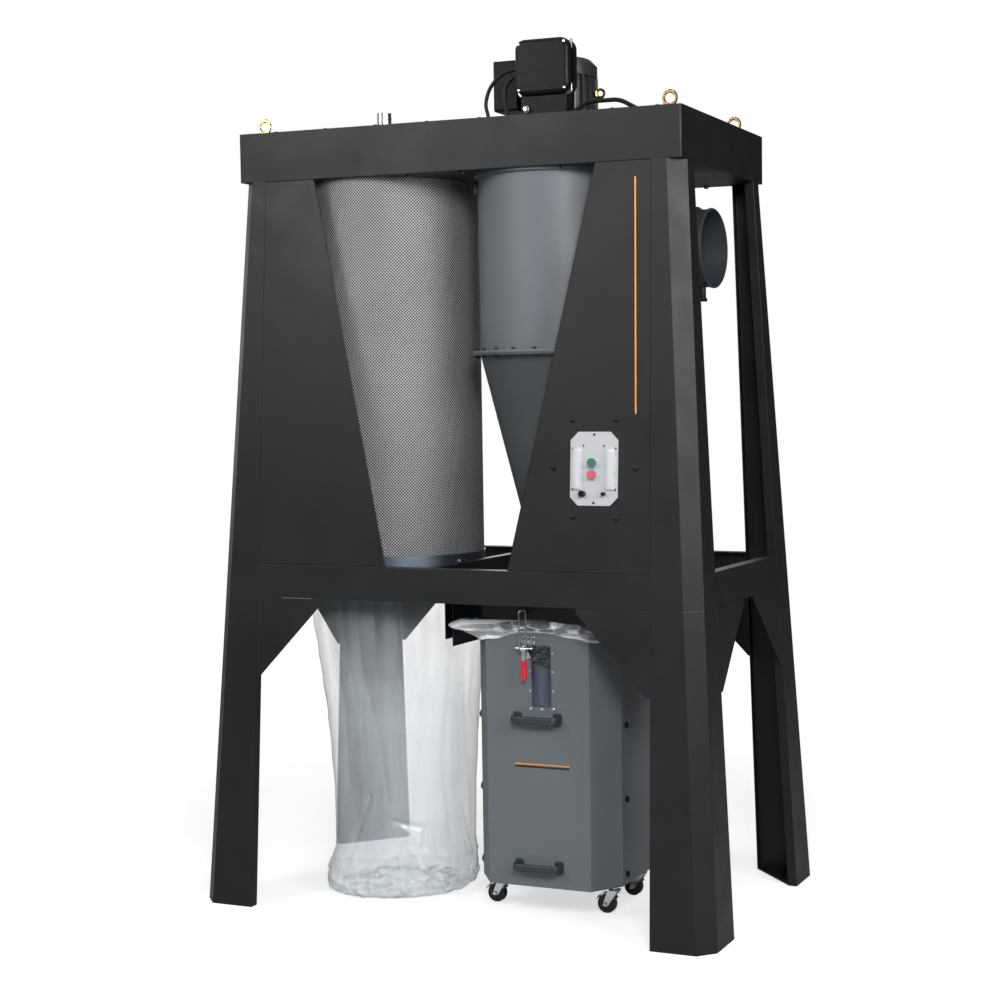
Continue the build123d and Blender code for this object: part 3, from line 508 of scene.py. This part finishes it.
# Height and radius, and how much further the bag reaches out on its left
BAG = [
    (0.000, 0.222), (0.020, 0.240), (0.050, 0.250), (0.090, 0.247), (0.156, 0.243),
    (0.331, 0.246), (0.485, 0.254), (0.613, 0.262), (0.734, 0.271), (0.839, 0.279),
    (0.920, 0.283), (0.970, 0.283), (1.030, 0.277), (1.060, 0.2726), (1.078, 0.2722),
]
BAG_LEFT = [
    (0.000, 0.034), (0.021, 0.037), (0.057, 0.026), (0.156, 0.007), (0.331, 0.006), (0.485, 0.008),
    (0.613, 0.010), (0.734, 0.015), (0.839, 0.018), (0.955, 0.027), (1.040, 0.008), (1.078, 0.0),
]
# Creases: their runs as (angle, height), half width, push outwards and milkiness, which is partly the film's whitening
# in a fold and partly painted highlight
CREASES = [
    ([(-2, 1.06), (1, 0.70), (2, 0.30)], 0.006, 0.0030, 0.16),
    ([(-34, 1.06), (-31, 0.80), (-23, 0.60), (-16, 0.34)], 0.012, -0.0070, 0.05),
    ([(-31, 0.36), (-43, 0.24), (-55, 0.12)], 0.009, -0.0100, 0.12),
    ([(-58, 1.00), (-50, 0.66), (-52, 0.40)], 0.018, -0.0080, 0.04),
    ([(25, 1.06), (22, 0.78)], 0.010, 0.0040, 0.06),
    ([(34, 0.90), (30, 0.45), (36, 0.20)], 0.012, -0.0060, 0.04),
    ([(46, 0.78), (54, 0.48)], 0.009, -0.0060, 0.06),
    ([(50, 0.30), (66, 0.13)], 0.010, -0.0070, 0.12),
    ([(-19, 0.63), (-10, 0.592), (0, 0.58), (10, 0.60)], 0.004, 0.0016, 0.10),
    ([(-10, 0.27), (14, 0.245), (13, 0.18)], 0.008, -0.0090, 0.25),
    ([(-75, 0.128), (-20, 0.150), (3, 0.165), (40, 0.140), (80, 0.128)], 0.010, 0.0060, 0.10),
    ([(4, 0.165), (16, 0.09), (30, 0.055)], 0.010, 0.0100, 0.30),
    ([(-6, 0.150), (-4, 0.06), (-8, 0.02)], 0.010, 0.0080, 0.22),
    ([(-70, 0.060), (-45, 0.035), (-38, 0.020)], 0.010, 0.0080, 0.30),
    ([(44, 0.09), (58, 0.065)], 0.007, 0.0060, 0.30),
    ([(110, 1.06), (118, 0.50), (106, 0.16)], 0.016, -0.0070, 0.06),
    ([(170, 1.06), (160, 0.60), (176, 0.14)], 0.016, -0.0070, 0.06),
    ([(-110, 1.06), (-122, 0.55), (-112, 0.15)], 0.016, -0.0070, 0.06),
]
# A patch painted milky as a highlight, where flat film would turn up to the light
HIGHLIGHT_PATCH = [(-9.5, 0.27), (14, 0.245), (13, 0.18)]


def along(table, z):
    for (z0, r0), (z1, r1) in zip(table, table[1:]):
        if z <= z1:
            t = max(0.0, (z - z0) / (z1 - z0))
            return r0 + (r1 - r0) * t * t * (3 - 2 * t)
    return table[-1][1]


def ridge(point, power=5.0):
    return (1.0 - min(1.0, abs(noise.noise(point)) * 1.6)) ** power


def facets(point):
    """Crumpled film: cells that each tilt their own way, as a height, a tone and the creases between them."""
    gaps, centres = noise.voronoi(point)
    centre = centres[0]
    crease = math.exp(-((gaps[1] - gaps[0]) / 0.13) ** 2)
    return (point - centre).dot(noise.noise_vector(centre * 7.3)), noise.noise(centre * 5.1), crease


def away(p, a, b):
    """Distance of a flat point from a segment."""
    run, way = b - a, p - a
    t = max(0.0, min(1.0, way.dot(run) / run.length_squared))
    return (way - run * t).length


def unrolled(angle, z):
    return Vector((BAG_MEAN_RADIUS * math.radians(angle), z))


RUNS = [([unrolled(*p) for p in run], half, push, milk_and_highlight) for run, half, push, milk_and_highlight in CREASES]
HIGHLIGHT_CORNERS = [unrolled(*p) for p in HIGHLIGHT_PATCH]


def creased(angle, z):
    p = unrolled(angle, z)
    push = milk_and_highlight = 0.0
    for run, half, depth, white in RUNS:
        if not min(q.y for q in run) - 3 * half < z < max(q.y for q in run) + 3 * half:
            continue
        near = min(away(p, a, b) for a, b in zip(run, run[1:]))
        if near < 3 * half:
            fall = max(0.0, 1 - near / (3 * half)) ** 2
            push += depth * fall
            milk_and_highlight += white * max(0.0, 1 - near / half)
    # Painted highlight: inside the patch the film is made milky
    turns = [(b - a).cross(p - a) for a, b in zip(HIGHLIGHT_CORNERS, HIGHLIGHT_CORNERS[1:] + HIGHLIGHT_CORNERS[:1])]
    inside = max(-max(turns), min(turns))
    if inside > 0:
        milk_and_highlight += min(1.0, inside / 0.0008) * 0.7
    return push, milk_and_highlight


def bag_piece():
    bm = bmesh.new()
    store = bm.verts.layers.float.new("fold_and_highlight")
    turns, levels = 300, 180
    rows = []
    for k in range(levels + 1):
        z = BAG_TOP * (k / levels) ** 1.25
        free = min(1.0, (BAG_TOP - z) / 0.16) ** 0.8
        low = max(0.0, 1.0 - z / 0.17)
        row = []
        for i in range(turns):
            a = 2 * math.pi * i / turns
            c, s = math.cos(a), math.sin(a)
            angle = (math.degrees(a - FACING) + 180) % 360 - 180
            slow = noise.noise(Vector((c * 1.3, s * 1.3, z * 1.0 + 4.0))) * 0.009
            hang = noise.noise(Vector((c * 3.2, s * 3.2, z * 0.45 + 9.0))) * 0.0055
            wide = math.cos(26 * a + 2.5 * noise.noise(Vector((c * 2, s * 2, z * 2))))
            pleat = wide * 0.0028 * math.exp(-(BAG_TOP - z) / 0.14) * min(1.0, (BAG_TOP - z) / 0.03)
            spot = Vector((c * 5.6 + z * 3.0, s * 5.6 - z * 3.0, z * 13.0 + 3.0))
            tilt, tone, crease = facets(spot) if low else (0.0, 0.0, 0.0)
            push, milk_and_highlight = creased(angle, z)
            left = max(0.0, math.cos(math.radians(angle + 90))) ** 2 * along(BAG_LEFT, z)
            right = max(0.0, math.cos(math.radians(angle - 90))) ** 2 * 0.010 * max(0.0, 1 - z / 0.06)
            radius = along(BAG, z) + (slow + hang + push + tilt * 0.022 * low) * free + pleat + left - right
            sag = 0.010 * noise.noise(Vector((c * 4, s * 4, 2.0))) * max(0.0, 1 - z / 0.10)
            v = bm.verts.new(FILTER + Vector((c * radius, s * radius, max(0.003, z + sag))))
            # Stored milk: creases partly whitened film and partly painted highlight, the patch painted highlight, and
            # the base's milky crumpled cells and creases
            v[store] = min(1.0, milk_and_highlight + low * (0.04 + max(0.0, tone) * 0.7 + 0.20 * crease))
            row.append(v)
        rows.append(row)
    rim = [v.co - FILTER for v in rows[0]]
    base = []
    rings = 15
    for k in range(1, rings):
        share = 1 - k / rings
        row = []
        for edge in rim:
            fold_and_highlight = ridge(Vector((edge.x * share * 18 + 1.3, edge.y * share * 18, 6.5)), 3.0)
            z = 0.004 + 0.024 * fold_and_highlight * share * (1 - share) * 4
            v = bm.verts.new(FILTER + Vector((edge.x * share, edge.y * share, z)))
            v[store] = min(1.0, 0.10 + 0.45 * fold_and_highlight)
            row.append(v)
        base.insert(0, row)
    tip = bm.verts.new(FILTER + Z * 0.008)
    tip[store] = 0.5
    skin(bm, [[tip]] + base + rows)
    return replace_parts(piece("collection_bag_film", bm, "bag_film", angle=0), "collection_bag")


bag_piece()

# Drum liner: film folded over the rim under the lid, loose at the front left corner.
# Its lower and upper edge by x, and how far it stands off the drum by its own height
LINER_LOW = [
    (-0.01, 0.893), (0.040, 0.905), (0.085, 0.916), (0.198, 0.938),
    (0.288, 0.940), (0.377, 0.928), (0.483, 0.913), (0.53, 0.913),
]
LINER_HIGH = [
    (-0.01, 0.972), (0.016, 0.976), (0.126, 0.983), (0.271, 0.985),
    (0.378, 0.975), (0.448, 0.968), (0.53, 0.962),
]
LINER_OUT = [
    (0.0, 0.004), (0.12, 0.008), (0.30, 0.012), (0.50, 0.013), (0.70, 0.011), (0.86, 0.007), (1.0, 0.0025),
]
DRUM_RIM_Z, LINER_REACH = 0.938, 0.0165


def drum_line(half, cut_x, cut_y, count):
    """Evenly spaced points round the drum's chamfered square, with outward directions."""
    corners = [
        (half - cut_x, -half), (half, -half + cut_y), (half, half - cut_y), (half - cut_x, half),
        (-half + cut_x, half), (-half, half - cut_y), (-half, -half + cut_y), (-half + cut_x, -half),
    ]
    corners = [Vector((x, y, 0)) for x, y in corners]
    sides = list(zip(corners, corners[1:] + corners[:1]))
    total = sum((b - a).length for a, b in sides)
    points = []
    for k in range(count):
        d = total * k / count
        for a, b in sides:
            if d <= (b - a).length:
                points.append(a.lerp(b, d / (b - a).length))
                break
            d -= (b - a).length
    for _ in range(3):
        points = [(points[i - 1] + points[i] * 2 + points[(i + 1) % count]) / 4 for i in range(count)]
    runs = [points[(i + 1) % count] - points[i - 1] for i in range(count)]
    return points, [Vector((t.y, -t.x, 0)).normalized() for t in runs]


def liner_piece():
    bm = bmesh.new()
    store = bm.verts.layers.float.new("fold_and_highlight")
    count, levels = 620, 26
    points, out = drum_line(0.258, 0.071, 0.095, count)
    loose = Vector((-0.200, -0.238, 0))
    rows = []
    for j in range(levels + 1):
        t = j / levels
        row = []
        for p, n in zip(points, out):
            low, high = along(LINER_LOW, p.x + CYCLONE.x), along(LINER_HIGH, p.x + CYCLONE.x)
            z = low + (high - low) * t
            z += 0.0035 * noise.noise(p * 11.0 + Vector((9, 2, 0))) * (1 - t) + 0.0025 * noise.noise(p * 13.0) * t
            tilt, tone, crease = facets(p * 17.0 + Vector((3.0, 1.0 + z * 9.0, z * 56.0)))
            crease *= max(0.0, noise.noise(Vector((p.x * 23.0, p.y * 23.0, z * 34.0 + 5.0))))
            near = math.exp(-((p - loose).length / 0.055) ** 2) * math.exp(-((t - 0.78) / 0.45) ** 2)
            belly = math.sin(math.pi * min(1.0, max(0.0, t * 0.94 + 0.04)))
            off = along(LINER_OUT, t) + 0.011 * tilt * belly
            off += 0.020 * near * tilt
            over = min(1.0, max(0.0, (z - DRUM_RIM_Z) / 0.008))
            off += 0.003 * over - 0.003 * (1 - over)
            spot = CYCLONE + p + n * min(off, LINER_REACH) + Vector((-0.108, -0.012, -0.004)) * near
            v = bm.verts.new(spot + Z * z)
            # Painted highlights: the liner is made milky along a line at its hem and round its loose corner, and in
            # random cells and along creases, partly the crumpled film's own whitening, standing in for glints
            hem_highlight = math.exp(-((t - 0.10) / 0.09) ** 2)
            v[store] = min(1.0, 0.04 + max(0.0, tone) * 1.7 + 1.3 * crease + 0.40 * hem_highlight + 0.30 * near)
            row.append(v)
        rows.append(row)
    skin(bm, rows)
    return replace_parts(piece("drum_liner_film", bm, "liner_film", angle=0), "drum_liner")


liner_piece()

# Bolts of the cover, the deck, the barrel's flange, the panels and the motor
bm = bmesh.new()
for x in (-0.66, -0.47, -0.28, -0.09, 0.10, 0.56, 0.71):
    for y in (-0.364, 0.364):
        button_bolt(bm, (x, y, COVER_HEAD), Z, 0.0075)
for x in (-0.777, 0.777):
    for y in (-0.17, 0.0, 0.17):
        button_bolt(bm, (x, y, COVER_HEAD), Z, 0.0075)
piece("cover_top_bolts", bm, "dark_bolt")

bm = bmesh.new()
for x in (-0.60, -0.17, 0.026, 0.213, 0.381, 0.60):
    for y in (-0.348, 0.348):
        hex_bolt(bm, (x, y, COVER_FOOT), -Z, 0.0085)
piece("deck_bolts", bm, "dark_bolt")

bm = bmesh.new()
for i in range(24):
    a = 2 * math.pi * (i + 0.35) / 24
    spot = CYCLONE + Vector((math.cos(a), math.sin(a), 0)) * 0.295
    hex_bolt(bm, spot + Z * 1.854, Z, 0.0065)
    hex_bolt(bm, spot + Z * 1.8377, -Z, 0.0065)
piece("flange_bolts", bm, "dark_bolt")

bm = bmesh.new()
for x, z in ((0.4423, 1.629), (0.590, 1.629), (0.377, 1.480), (0.657, 1.480), (0.447, 1.327), (0.592, 1.325)):
    button_bolt(bm, on_front(x, z), FRONT, 0.0085)
piece("panel_bolts", bm, "dark_bolt")

bm = bmesh.new()
for k in range(4):
    a = math.radians(45 + 90 * k)
    hex_bolt(bm, CYCLONE + Vector((math.cos(a), math.sin(a), 0)) * 0.120 + Z * 2.599, Z, 0.0075)
piece("motor_flange_bolts", bm, "zinc_bolt")

# Motor: grille over the fan, and the terminal box's rim plate, screws and gland
bm = bmesh.new()
top = CYCLONE + Z * 2.802
for radius in (0.018, 0.032, 0.046, 0.060, 0.074, 0.088):
    ring = [(radius - 0.002, 0.0), (radius - 0.001, 0.002), (radius + 0.001, 0.002), (radius + 0.002, 0.0)]
    lathe(bm, Matrix.Translation(top), ring, 40)
for k in range(8):
    a = math.pi * k / 4
    run = Vector((math.cos(a), math.sin(a), 0))
    strip(bm, top + run * 0.016 + Z * 0.0018, top + run * 0.090 + Z * 0.0018, Vector((-run.y, run.x, 0)), Z, 0.002)
piece("motor_grille", bm, "motor_paint")

bm = bmesh.new()
slab(bm, frame_at((TERMINAL_X, -0.261, TERMINAL_Z), X, Z), rounded(0.1900, 0.1760, 0.012, 6), 0.009, 0.001)
piece("terminal_rim", bm, "rim_metal")

bm = bmesh.new()
for dx, dz in ((-0.080, -0.072), (0.080, -0.072), (-0.080, 0.072), (0.080, 0.072)):
    pan_screw(bm, (TERMINAL_X + dx, -0.2945, TERMINAL_Z + dz), -Y, 0.0045)
gland = [(0.012, 0.0), (0.012, 0.009), (0.009, 0.010), (0.009, 0.017), (0.006, 0.019), (0, 0.019)]
lathe(bm, turn_to((0.226, -0.277, 2.617), -Y), gland, 6)
piece("terminal_fittings", bm, "zinc_bolt")

# Cables from the terminal box down into the cover
bm = bmesh.new()
CABLE_RADIUS = 0.006
for y, run in (
    (-0.263, ((0.192, 2.7475), (0.160, 2.7465), (0.122, 2.732), (0.090, 2.700),
              (0.075, 2.668), (0.071, 2.640), (0.077, 2.614), (0.084, 2.584))),
    (-0.243, ((0.192, 2.7355), (0.168, 2.731), (0.143, 2.714), (0.131, 2.690),
              (0.128, 2.665), (0.132, 2.640), (0.139, 2.614), (0.147, 2.584))),
):
    tube(bm, [(x, y, z) for x, z in run], CABLE_RADIUS)
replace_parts(piece("motor_cable_runs", bm, "cable_rubber"), "motor_cables")

# Panel trim
bm = bmesh.new()
strip(bm, on_front(0.6425, 2.373), on_front(0.6545, 1.647), X, FRONT, 0.0026)
piece("panel_stripe", bm, "orange")

# Control plate: screws, dark ovals painted as the shade in its ports, half-round gauge covers
PLATE = frame_at(on_front(0.518, 1.478, 0.003), X, FRONT_UP)


def on_plate(x, y, out=0.0):
    return PLATE @ Vector((x, y, out))


bm = bmesh.new()
for x, y in ((0, 0.106), (0, -0.106), (-0.072, 0.062), (0.072, 0.062), (-0.072, -0.064), (0.072, -0.064)):
    pan_screw(bm, on_plate(x, y), FRONT, 0.004)
# Painted shade: two flat dark ovals stand for the ports' openings
for x in (-0.036, 0.033):
    outline = [(0.0022 * math.cos(a), 0.0042 * math.sin(a)) for a in (math.pi * i / 8 for i in range(16))]
    slab(bm, PLATE @ Matrix.Translation((x, 0.071, 0)), outline, 0.0006)
piece("plate_screws_and_port_shade", bm, "dark_bolt")

bm = bmesh.new()
for side in (-1, 1):
    rows = []
    arc = [math.pi * i / 14 for i in range(15)]
    for k in range(27):
        y = 0.130 * (k / 26 - 0.5)
        end = min(1.0, (0.065 - abs(y)) / 0.012)
        lift = 0.55 + 0.45 * math.sqrt(max(0.0, 1 - (1 - end) ** 2))
        wide = 0.0160 if end > 0 else 0.0150
        section = [(side * 0.057 + wide * math.cos(a), 0.0005 + 0.0165 * lift * math.sin(a)) for a in arc]
        rows.append([bm.verts.new(on_plate(x, y, out)) for x, out in section])
    skin(bm, rows, closed=False)
    for row in (rows[0], rows[-1]):
        bm.faces.new(row)
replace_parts(piece("gauge_covers", bm, "clear_acrylic"), "gauge_tubes")

# Drum: screws of window and latch, an orange trim line with a painted shadow line under it, knobs on the left and
# bolts on the right, handle pads
bm = bmesh.new()
for x, z in (
    (0.3115, 0.877), (0.3115, 0.817), (0.3115, 0.754), (0.3115, 0.695),
    (0.270, 0.693), (0.230, 0.693), (0.230, 0.752), (0.230, 0.816),
):
    pan_screw(bm, (x, DRUM_FACE, z), -Y, 0.0048)
for z in (0.862, 0.846):
    pan_screw(bm, (LATCH_X - 0.016, DRUM_FACE, z), -Y, 0.0036)
    pan_screw(bm, (LATCH_X + 0.016, DRUM_FACE, z), -Y, 0.0036)
piece("drum_screws", bm, "zinc_bolt")

bm = bmesh.new()
strip(bm, Vector((0.172, DRUM_FACE, 0.510)), Vector((0.368, DRUM_FACE, 0.510)), Z, -Y, 0.0026)
piece("drum_stripe", bm, "orange")
# Painted shadow: a dark line under the orange stripe
bm = bmesh.new()
strip(bm, Vector((0.172, DRUM_FACE, 0.5025)), Vector((0.368, DRUM_FACE, 0.5025)), Z, -Y, 0.0036)
piece("drum_line", bm, "stripe_shadow_paint")

bm = bmesh.new()
knob = [(0.010, -0.0005), (0.010, 0.004), (0.016, 0.007), (0.016, 0.015), (0.012, 0.019), (0, 0.019)]
for z in (0.643, 0.398, 0.150):
    lathe(bm, turn_to((0.0, -0.195, z), -X), knob, 12)
    hex_bolt(bm, (0.510, -0.195, z - 0.010), X, 0.0085)
piece("drum_knobs", bm, "dark_bolt")

bm = bmesh.new()
for z in (0.660, 0.175):
    for side in (-1, 1):
        x = DRUM_X + side * 0.0715
        slab(bm, frame_at((x, DRUM_FACE + 0.0005, z), X, Z), rounded(0.030, 0.044, 0.008), 0.005, 0.0012)
        pan_screw(bm, (x, DRUM_FACE - 0.0045, z + 0.0165), -Y, 0.0036)
        pan_screw(bm, (x, DRUM_FACE - 0.0045, z - 0.0165), -Y, 0.0036)
piece("handle_pads", bm, "handle_paint")

# Latch: mounting block and pin ends on the drum, red grip on the lever
bm = bmesh.new()
for side in (-1, 1):
    rod = [(0.0030, 0), (0.0030, 0.014), (0.0044, 0.0145), (0.0044, 0.0175), (0, 0.0185)]
    lathe(bm, turn_to((LATCH_X + side * 0.0120, PIN_Y, LATCH_Z), X * side), rod, 12)
slab(bm, frame_at((LATCH_X + 0.003, DRUM_FACE + 0.0005, 0.918), X, Z), rounded(0.046, 0.026, 0.003), 0.005, 0.001)
for dx in (-0.014, 0.003, 0.020):
    slab(bm, frame_at((LATCH_X + dx, DRUM_FACE - 0.004, 0.918), X, Z), rounded(0.007, 0.020, 0.002), 0.010, 0.001)
piece("latch_pin_ends", bm, "chrome")

bm = bmesh.new()
rows = []
for z, wide, deep in (
    (0.856, 0.0145, 0.0085), (0.855, 0.0160, 0.0100), (0.850, 0.0166, 0.0106), (0.830, 0.0172, 0.0112),
    (0.806, 0.0184, 0.0118), (0.796, 0.0180, 0.0114), (0.791, 0.0160, 0.0096), (0.7895, 0.0130, 0.0070),
):
    rows.append([bm.verts.new((LATCH_X + x, -0.3555 + y, z)) for x, y in rounded(wide, deep, 0.0034, 4)])
skin(bm, rows)
bm.faces.new(rows[0])
bm.faces.new(rows[-1])
piece("latch_grip", bm, "red_plastic", "latch_lever_body")

# Casters: a hood on each fork, caps on each wheel
KINGS = {
    "front_left": (0.052, -0.182), "front_right": (0.458, -0.182),
    "back_left": (0.052, 0.042), "back_right": (0.458, 0.042),
}
TRAIL, AXLE_Z = 0.026, 0.032
# Sections of the hood, and profiles of the axle's nuts and the wheel's caps
SHELL = (
    (-0.0166, 0.0362), (0.0166, 0.0362), (0.0166, 0.0374), (0.0120, 0.0382), (-0.0120, 0.0382), (-0.0166, 0.0374),
)
NUT = [(0.0075, 0), (0.0075, 0.003), (0.0055, 0.0045), (0, 0.0045)]
CAP = [(0.0215, -0.001), (0.0215, 0.0008), (0.0195, 0.0016), (0.0120, 0.0012), (0.0100, 0.0026), (0.0056, 0.0030)]
for name, (kx, ky) in KINGS.items():
    axle = Vector((kx - TRAIL, ky, AXLE_Z))
    bm = bmesh.new()
    rows = []
    for k in range(25):
        a = math.radians(28 + 130 * k / 24)
        run = Vector((math.cos(a), 0, math.sin(a)))
        rows.append([bm.verts.new(axle + run * r + Y * y) for y, r in SHELL])
    skin(bm, rows)
    bm.faces.new(rows[0])
    bm.faces.new(rows[-1])
    for side in (-1, 1):
        lathe(bm, turn_to(axle + Y * side * 0.0199, Y * side), NUT, 6)
    piece(name + "_caster_hood", bm, "chrome", name + "_fork_body")
    bm = bmesh.new()
    for side in (-1, 1):
        lathe(bm, turn_to(axle + Y * side * 0.012, Y * side), CAP, 28)
    piece(name + "_wheel_caps", bm, "black_plastic", name + "_wheel_body")

# Inlet: rolled edge and strap lug; barrel lug; clamp screws of the bag and the filter's foot
bm = bmesh.new()
mouth = turn_to((0.735, 0.062, 2.186), X)
lathe(bm, mouth, [(0.1272, -0.012), (0.1300, -0.010), (0.1308, -0.006), (0.1300, -0.0025), (0.1272, -0.001)], 72)
# The bead takes the inlet's painted shade
piece("inlet_bead", bm, "inlet_painted_shade")

bm = bmesh.new()
slab(bm, frame_at((0.690, 0.052, 2.040), Y, Z), rounded(0.020, 0.046, 0.004), 0.014, 0.001)
slab(bm, frame_at((0.690, 0.048, 2.018), Y, Z), rounded(0.030, 0.012, 0.003), 0.018, 0.001)
piece("inlet_lug", bm, "dark_bolt")

bm = bmesh.new()
a = math.radians(205)
out = Vector((math.cos(a), math.sin(a), 0))
around = Vector((-out.y, out.x, 0))
slab(bm, frame_at(CYCLONE + out * 0.2815 + Z * 2.388, around, Z), rounded(0.034, 0.046, 0.004), 0.016, 0.001)
piece("barrel_lug", bm, "black_paint")

bm = bmesh.new()
for radius, z, turn in ((0.2753, 1.069, -38.0), (0.289, 1.150, -16.0)):
    a = math.radians(turn)
    out = Vector((math.cos(a), math.sin(a), 0))
    around = Vector((-out.y, out.x, 0))
    slab(bm, frame_at(FILTER + out * (radius - 0.001) + Z * z, around, Z), rounded(0.034, 0.014, 0.003), 0.009, 0.0015)
    head = turn_to(FILTER + out * (radius + 0.0045) + around * 0.017 + Z * z, around)
    lathe(bm, head, [(0.0045, 0), (0.0045, 0.008), (0, 0.008)], 6)
piece("clamp_screws", bm, "bare_steel")


# Floor, light, camera. The camera is fitted to a photo of 1000 x 1000 px
FLOOR_HALF = 40.0
IMAGE_PX, FOCAL_PX, SENSOR_MM = 1000, 1775.47, 36.0
CAMERA_SPOT = (2.7807, -5.4608, 1.6829)
CAMERA_YAW, CAMERA_PITCH, CAMERA_ROLL = 0.36408, -0.07216, -0.00757
LENS_SHIFT = (-0.2, 0.03)


def studio():
    mat, tree, bsdf = shader("pale_floor", Base_Color=(0.55, 0.55, 0.55), Roughness=0.9, Specular_IOR_Level=0.1)
    out = next(n for n in tree.nodes if n.type == "OUTPUT_MATERIAL")
    glow = node(tree, "ShaderNodeEmission")
    rays = node(tree, "ShaderNodeLightPath")
    far = node(tree, "ShaderNodeVectorMath", operation="LENGTH")
    tree.links.new(place(tree), far.inputs[0])
    lift = spread(tree, far.outputs["Value"], 0.62, 0.95, 1.6, 6.0)
    seen = calc(tree, "MAXIMUM", rays.outputs["Is Camera Ray"], rays.outputs["Is Transmission Ray"])
    tree.links.new(calc(tree, "MULTIPLY", seen, lift), glow.inputs["Strength"])
    both = node(tree, "ShaderNodeAddShader")
    tree.links.new(bsdf.outputs[0], both.inputs[0])
    tree.links.new(glow.outputs[0], both.inputs[1])
    tree.links.new(both.outputs[0], out.inputs["Surface"])
    mesh = bpy.data.meshes.new("floor")
    s = FLOOR_HALF
    mesh.from_pydata([(-s, -s, 0), (s, -s, 0), (s, s, 0), (-s, s, 0)], [], [(0, 1, 2, 3)])
    mesh.materials.append(mat)
    floor = bpy.data.objects.new("floor", mesh)
    scene.collection.objects.link(floor)

    world = bpy.data.worlds.new("studio")
    scene.world = world
    world.use_nodes = True
    tree = world.node_tree
    tree.nodes.clear()
    out = node(tree, "ShaderNodeOutputWorld")
    soft = node(tree, "ShaderNodeBackground")
    soft.inputs["Color"].default_value = (0.97, 0.985, 1.0, 1.0)
    way = node(tree, "ShaderNodeTexCoord").outputs["Generated"]
    side = calc(tree, "SUBTRACT", calc(tree, "MULTIPLY", part_of(tree, way, "Z"), 0.5), part_of(tree, way, "Y"))
    side = calc(tree, "SUBTRACT", side, calc(tree, "MULTIPLY", part_of(tree, way, "X"), 0.25))
    tree.links.new(spread(tree, side, 0.05, 0.16, -0.8, 0.9), soft.inputs["Strength"])
    # White for the camera and through film; metal mirrors it at the back left, off the black front faces
    white = node(tree, "ShaderNodeBackground")
    white.inputs["Color"].default_value = (1.0, 1.0, 1.0, 1.0)
    white.inputs["Strength"].default_value = 1.0
    rays = node(tree, "ShaderNodeLightPath")
    left = calc(tree, "MULTIPLY", part_of(tree, way, "X"), -0.85)
    behind = calc(tree, "ADD", left, calc(tree, "MULTIPLY", part_of(tree, way, "Y"), 0.53))
    mirrored = calc(tree, "MULTIPLY", rays.outputs["Is Glossy Ray"], spread(tree, behind, 0.0, 1.0, 0.45, 0.90))
    seen = calc(tree, "MAXIMUM", rays.outputs["Is Camera Ray"], rays.outputs["Is Transmission Ray"])
    mix = node(tree, "ShaderNodeMixShader")
    tree.links.new(calc(tree, "MAXIMUM", seen, mirrored), mix.inputs["Fac"])
    tree.links.new(soft.outputs[0], mix.inputs[1])
    tree.links.new(white.outputs[0], mix.inputs[2])
    tree.links.new(mix.outputs[0], out.inputs["Surface"])

    for name, spot, aim, size, power in (
        ("key", (-3.0, -4.8, 4.3), (0, 0, 1.6), 2.2, 145.0),
        ("fill", (2.9, -4.9, 3.7), (0, 0, 1.4), 1.4, 215.0),
        ("side", (4.6, -2.3, 3.0), (0, 0, 1.5), 1.8, 140.0),
        ("top", (0.2, -0.4, 6.0), (0, 0, 0), 3.0, 60.0),
        ("back", (-2.6, 4.4, 3.4), (0, 0, 1.9), 2.4, 60.0),
    ):
        lamp = bpy.data.lights.new(name, "AREA")
        lamp.shape = "SQUARE"
        lamp.size = size
        lamp.energy = power
        obj = bpy.data.objects.new(name, lamp)
        obj.location = spot
        obj.rotation_euler = (Vector(aim) - Vector(spot)).to_track_quat("-Z", "Y").to_euler()
        scene.collection.objects.link(obj)

    cam = bpy.data.cameras.new("camera")
    cam.sensor_fit = "HORIZONTAL"
    cam.sensor_width = SENSOR_MM
    cam.lens = FOCAL_PX / IMAGE_PX * SENSOR_MM
    cam.shift_x, cam.shift_y = LENS_SHIFT
    cam.clip_end = 200.0
    yaw, pitch, roll = CAMERA_YAW, CAMERA_PITCH, CAMERA_ROLL
    ahead = Vector((-math.sin(yaw) * math.cos(pitch), math.cos(yaw) * math.cos(pitch), math.sin(pitch)))
    right = Vector((math.cos(yaw), math.sin(yaw), 0))
    up = right.cross(ahead)
    right, up = right * math.cos(roll) + up * math.sin(roll), up * math.cos(roll) - right * math.sin(roll)
    turn = Matrix((right, up, -ahead)).transposed()
    obj = bpy.data.objects.new("camera", cam)
    obj.matrix_world = Matrix.Translation(CAMERA_SPOT) @ turn.to_4x4()
    scene.collection.objects.link(obj)
    scene.camera = obj


studio()
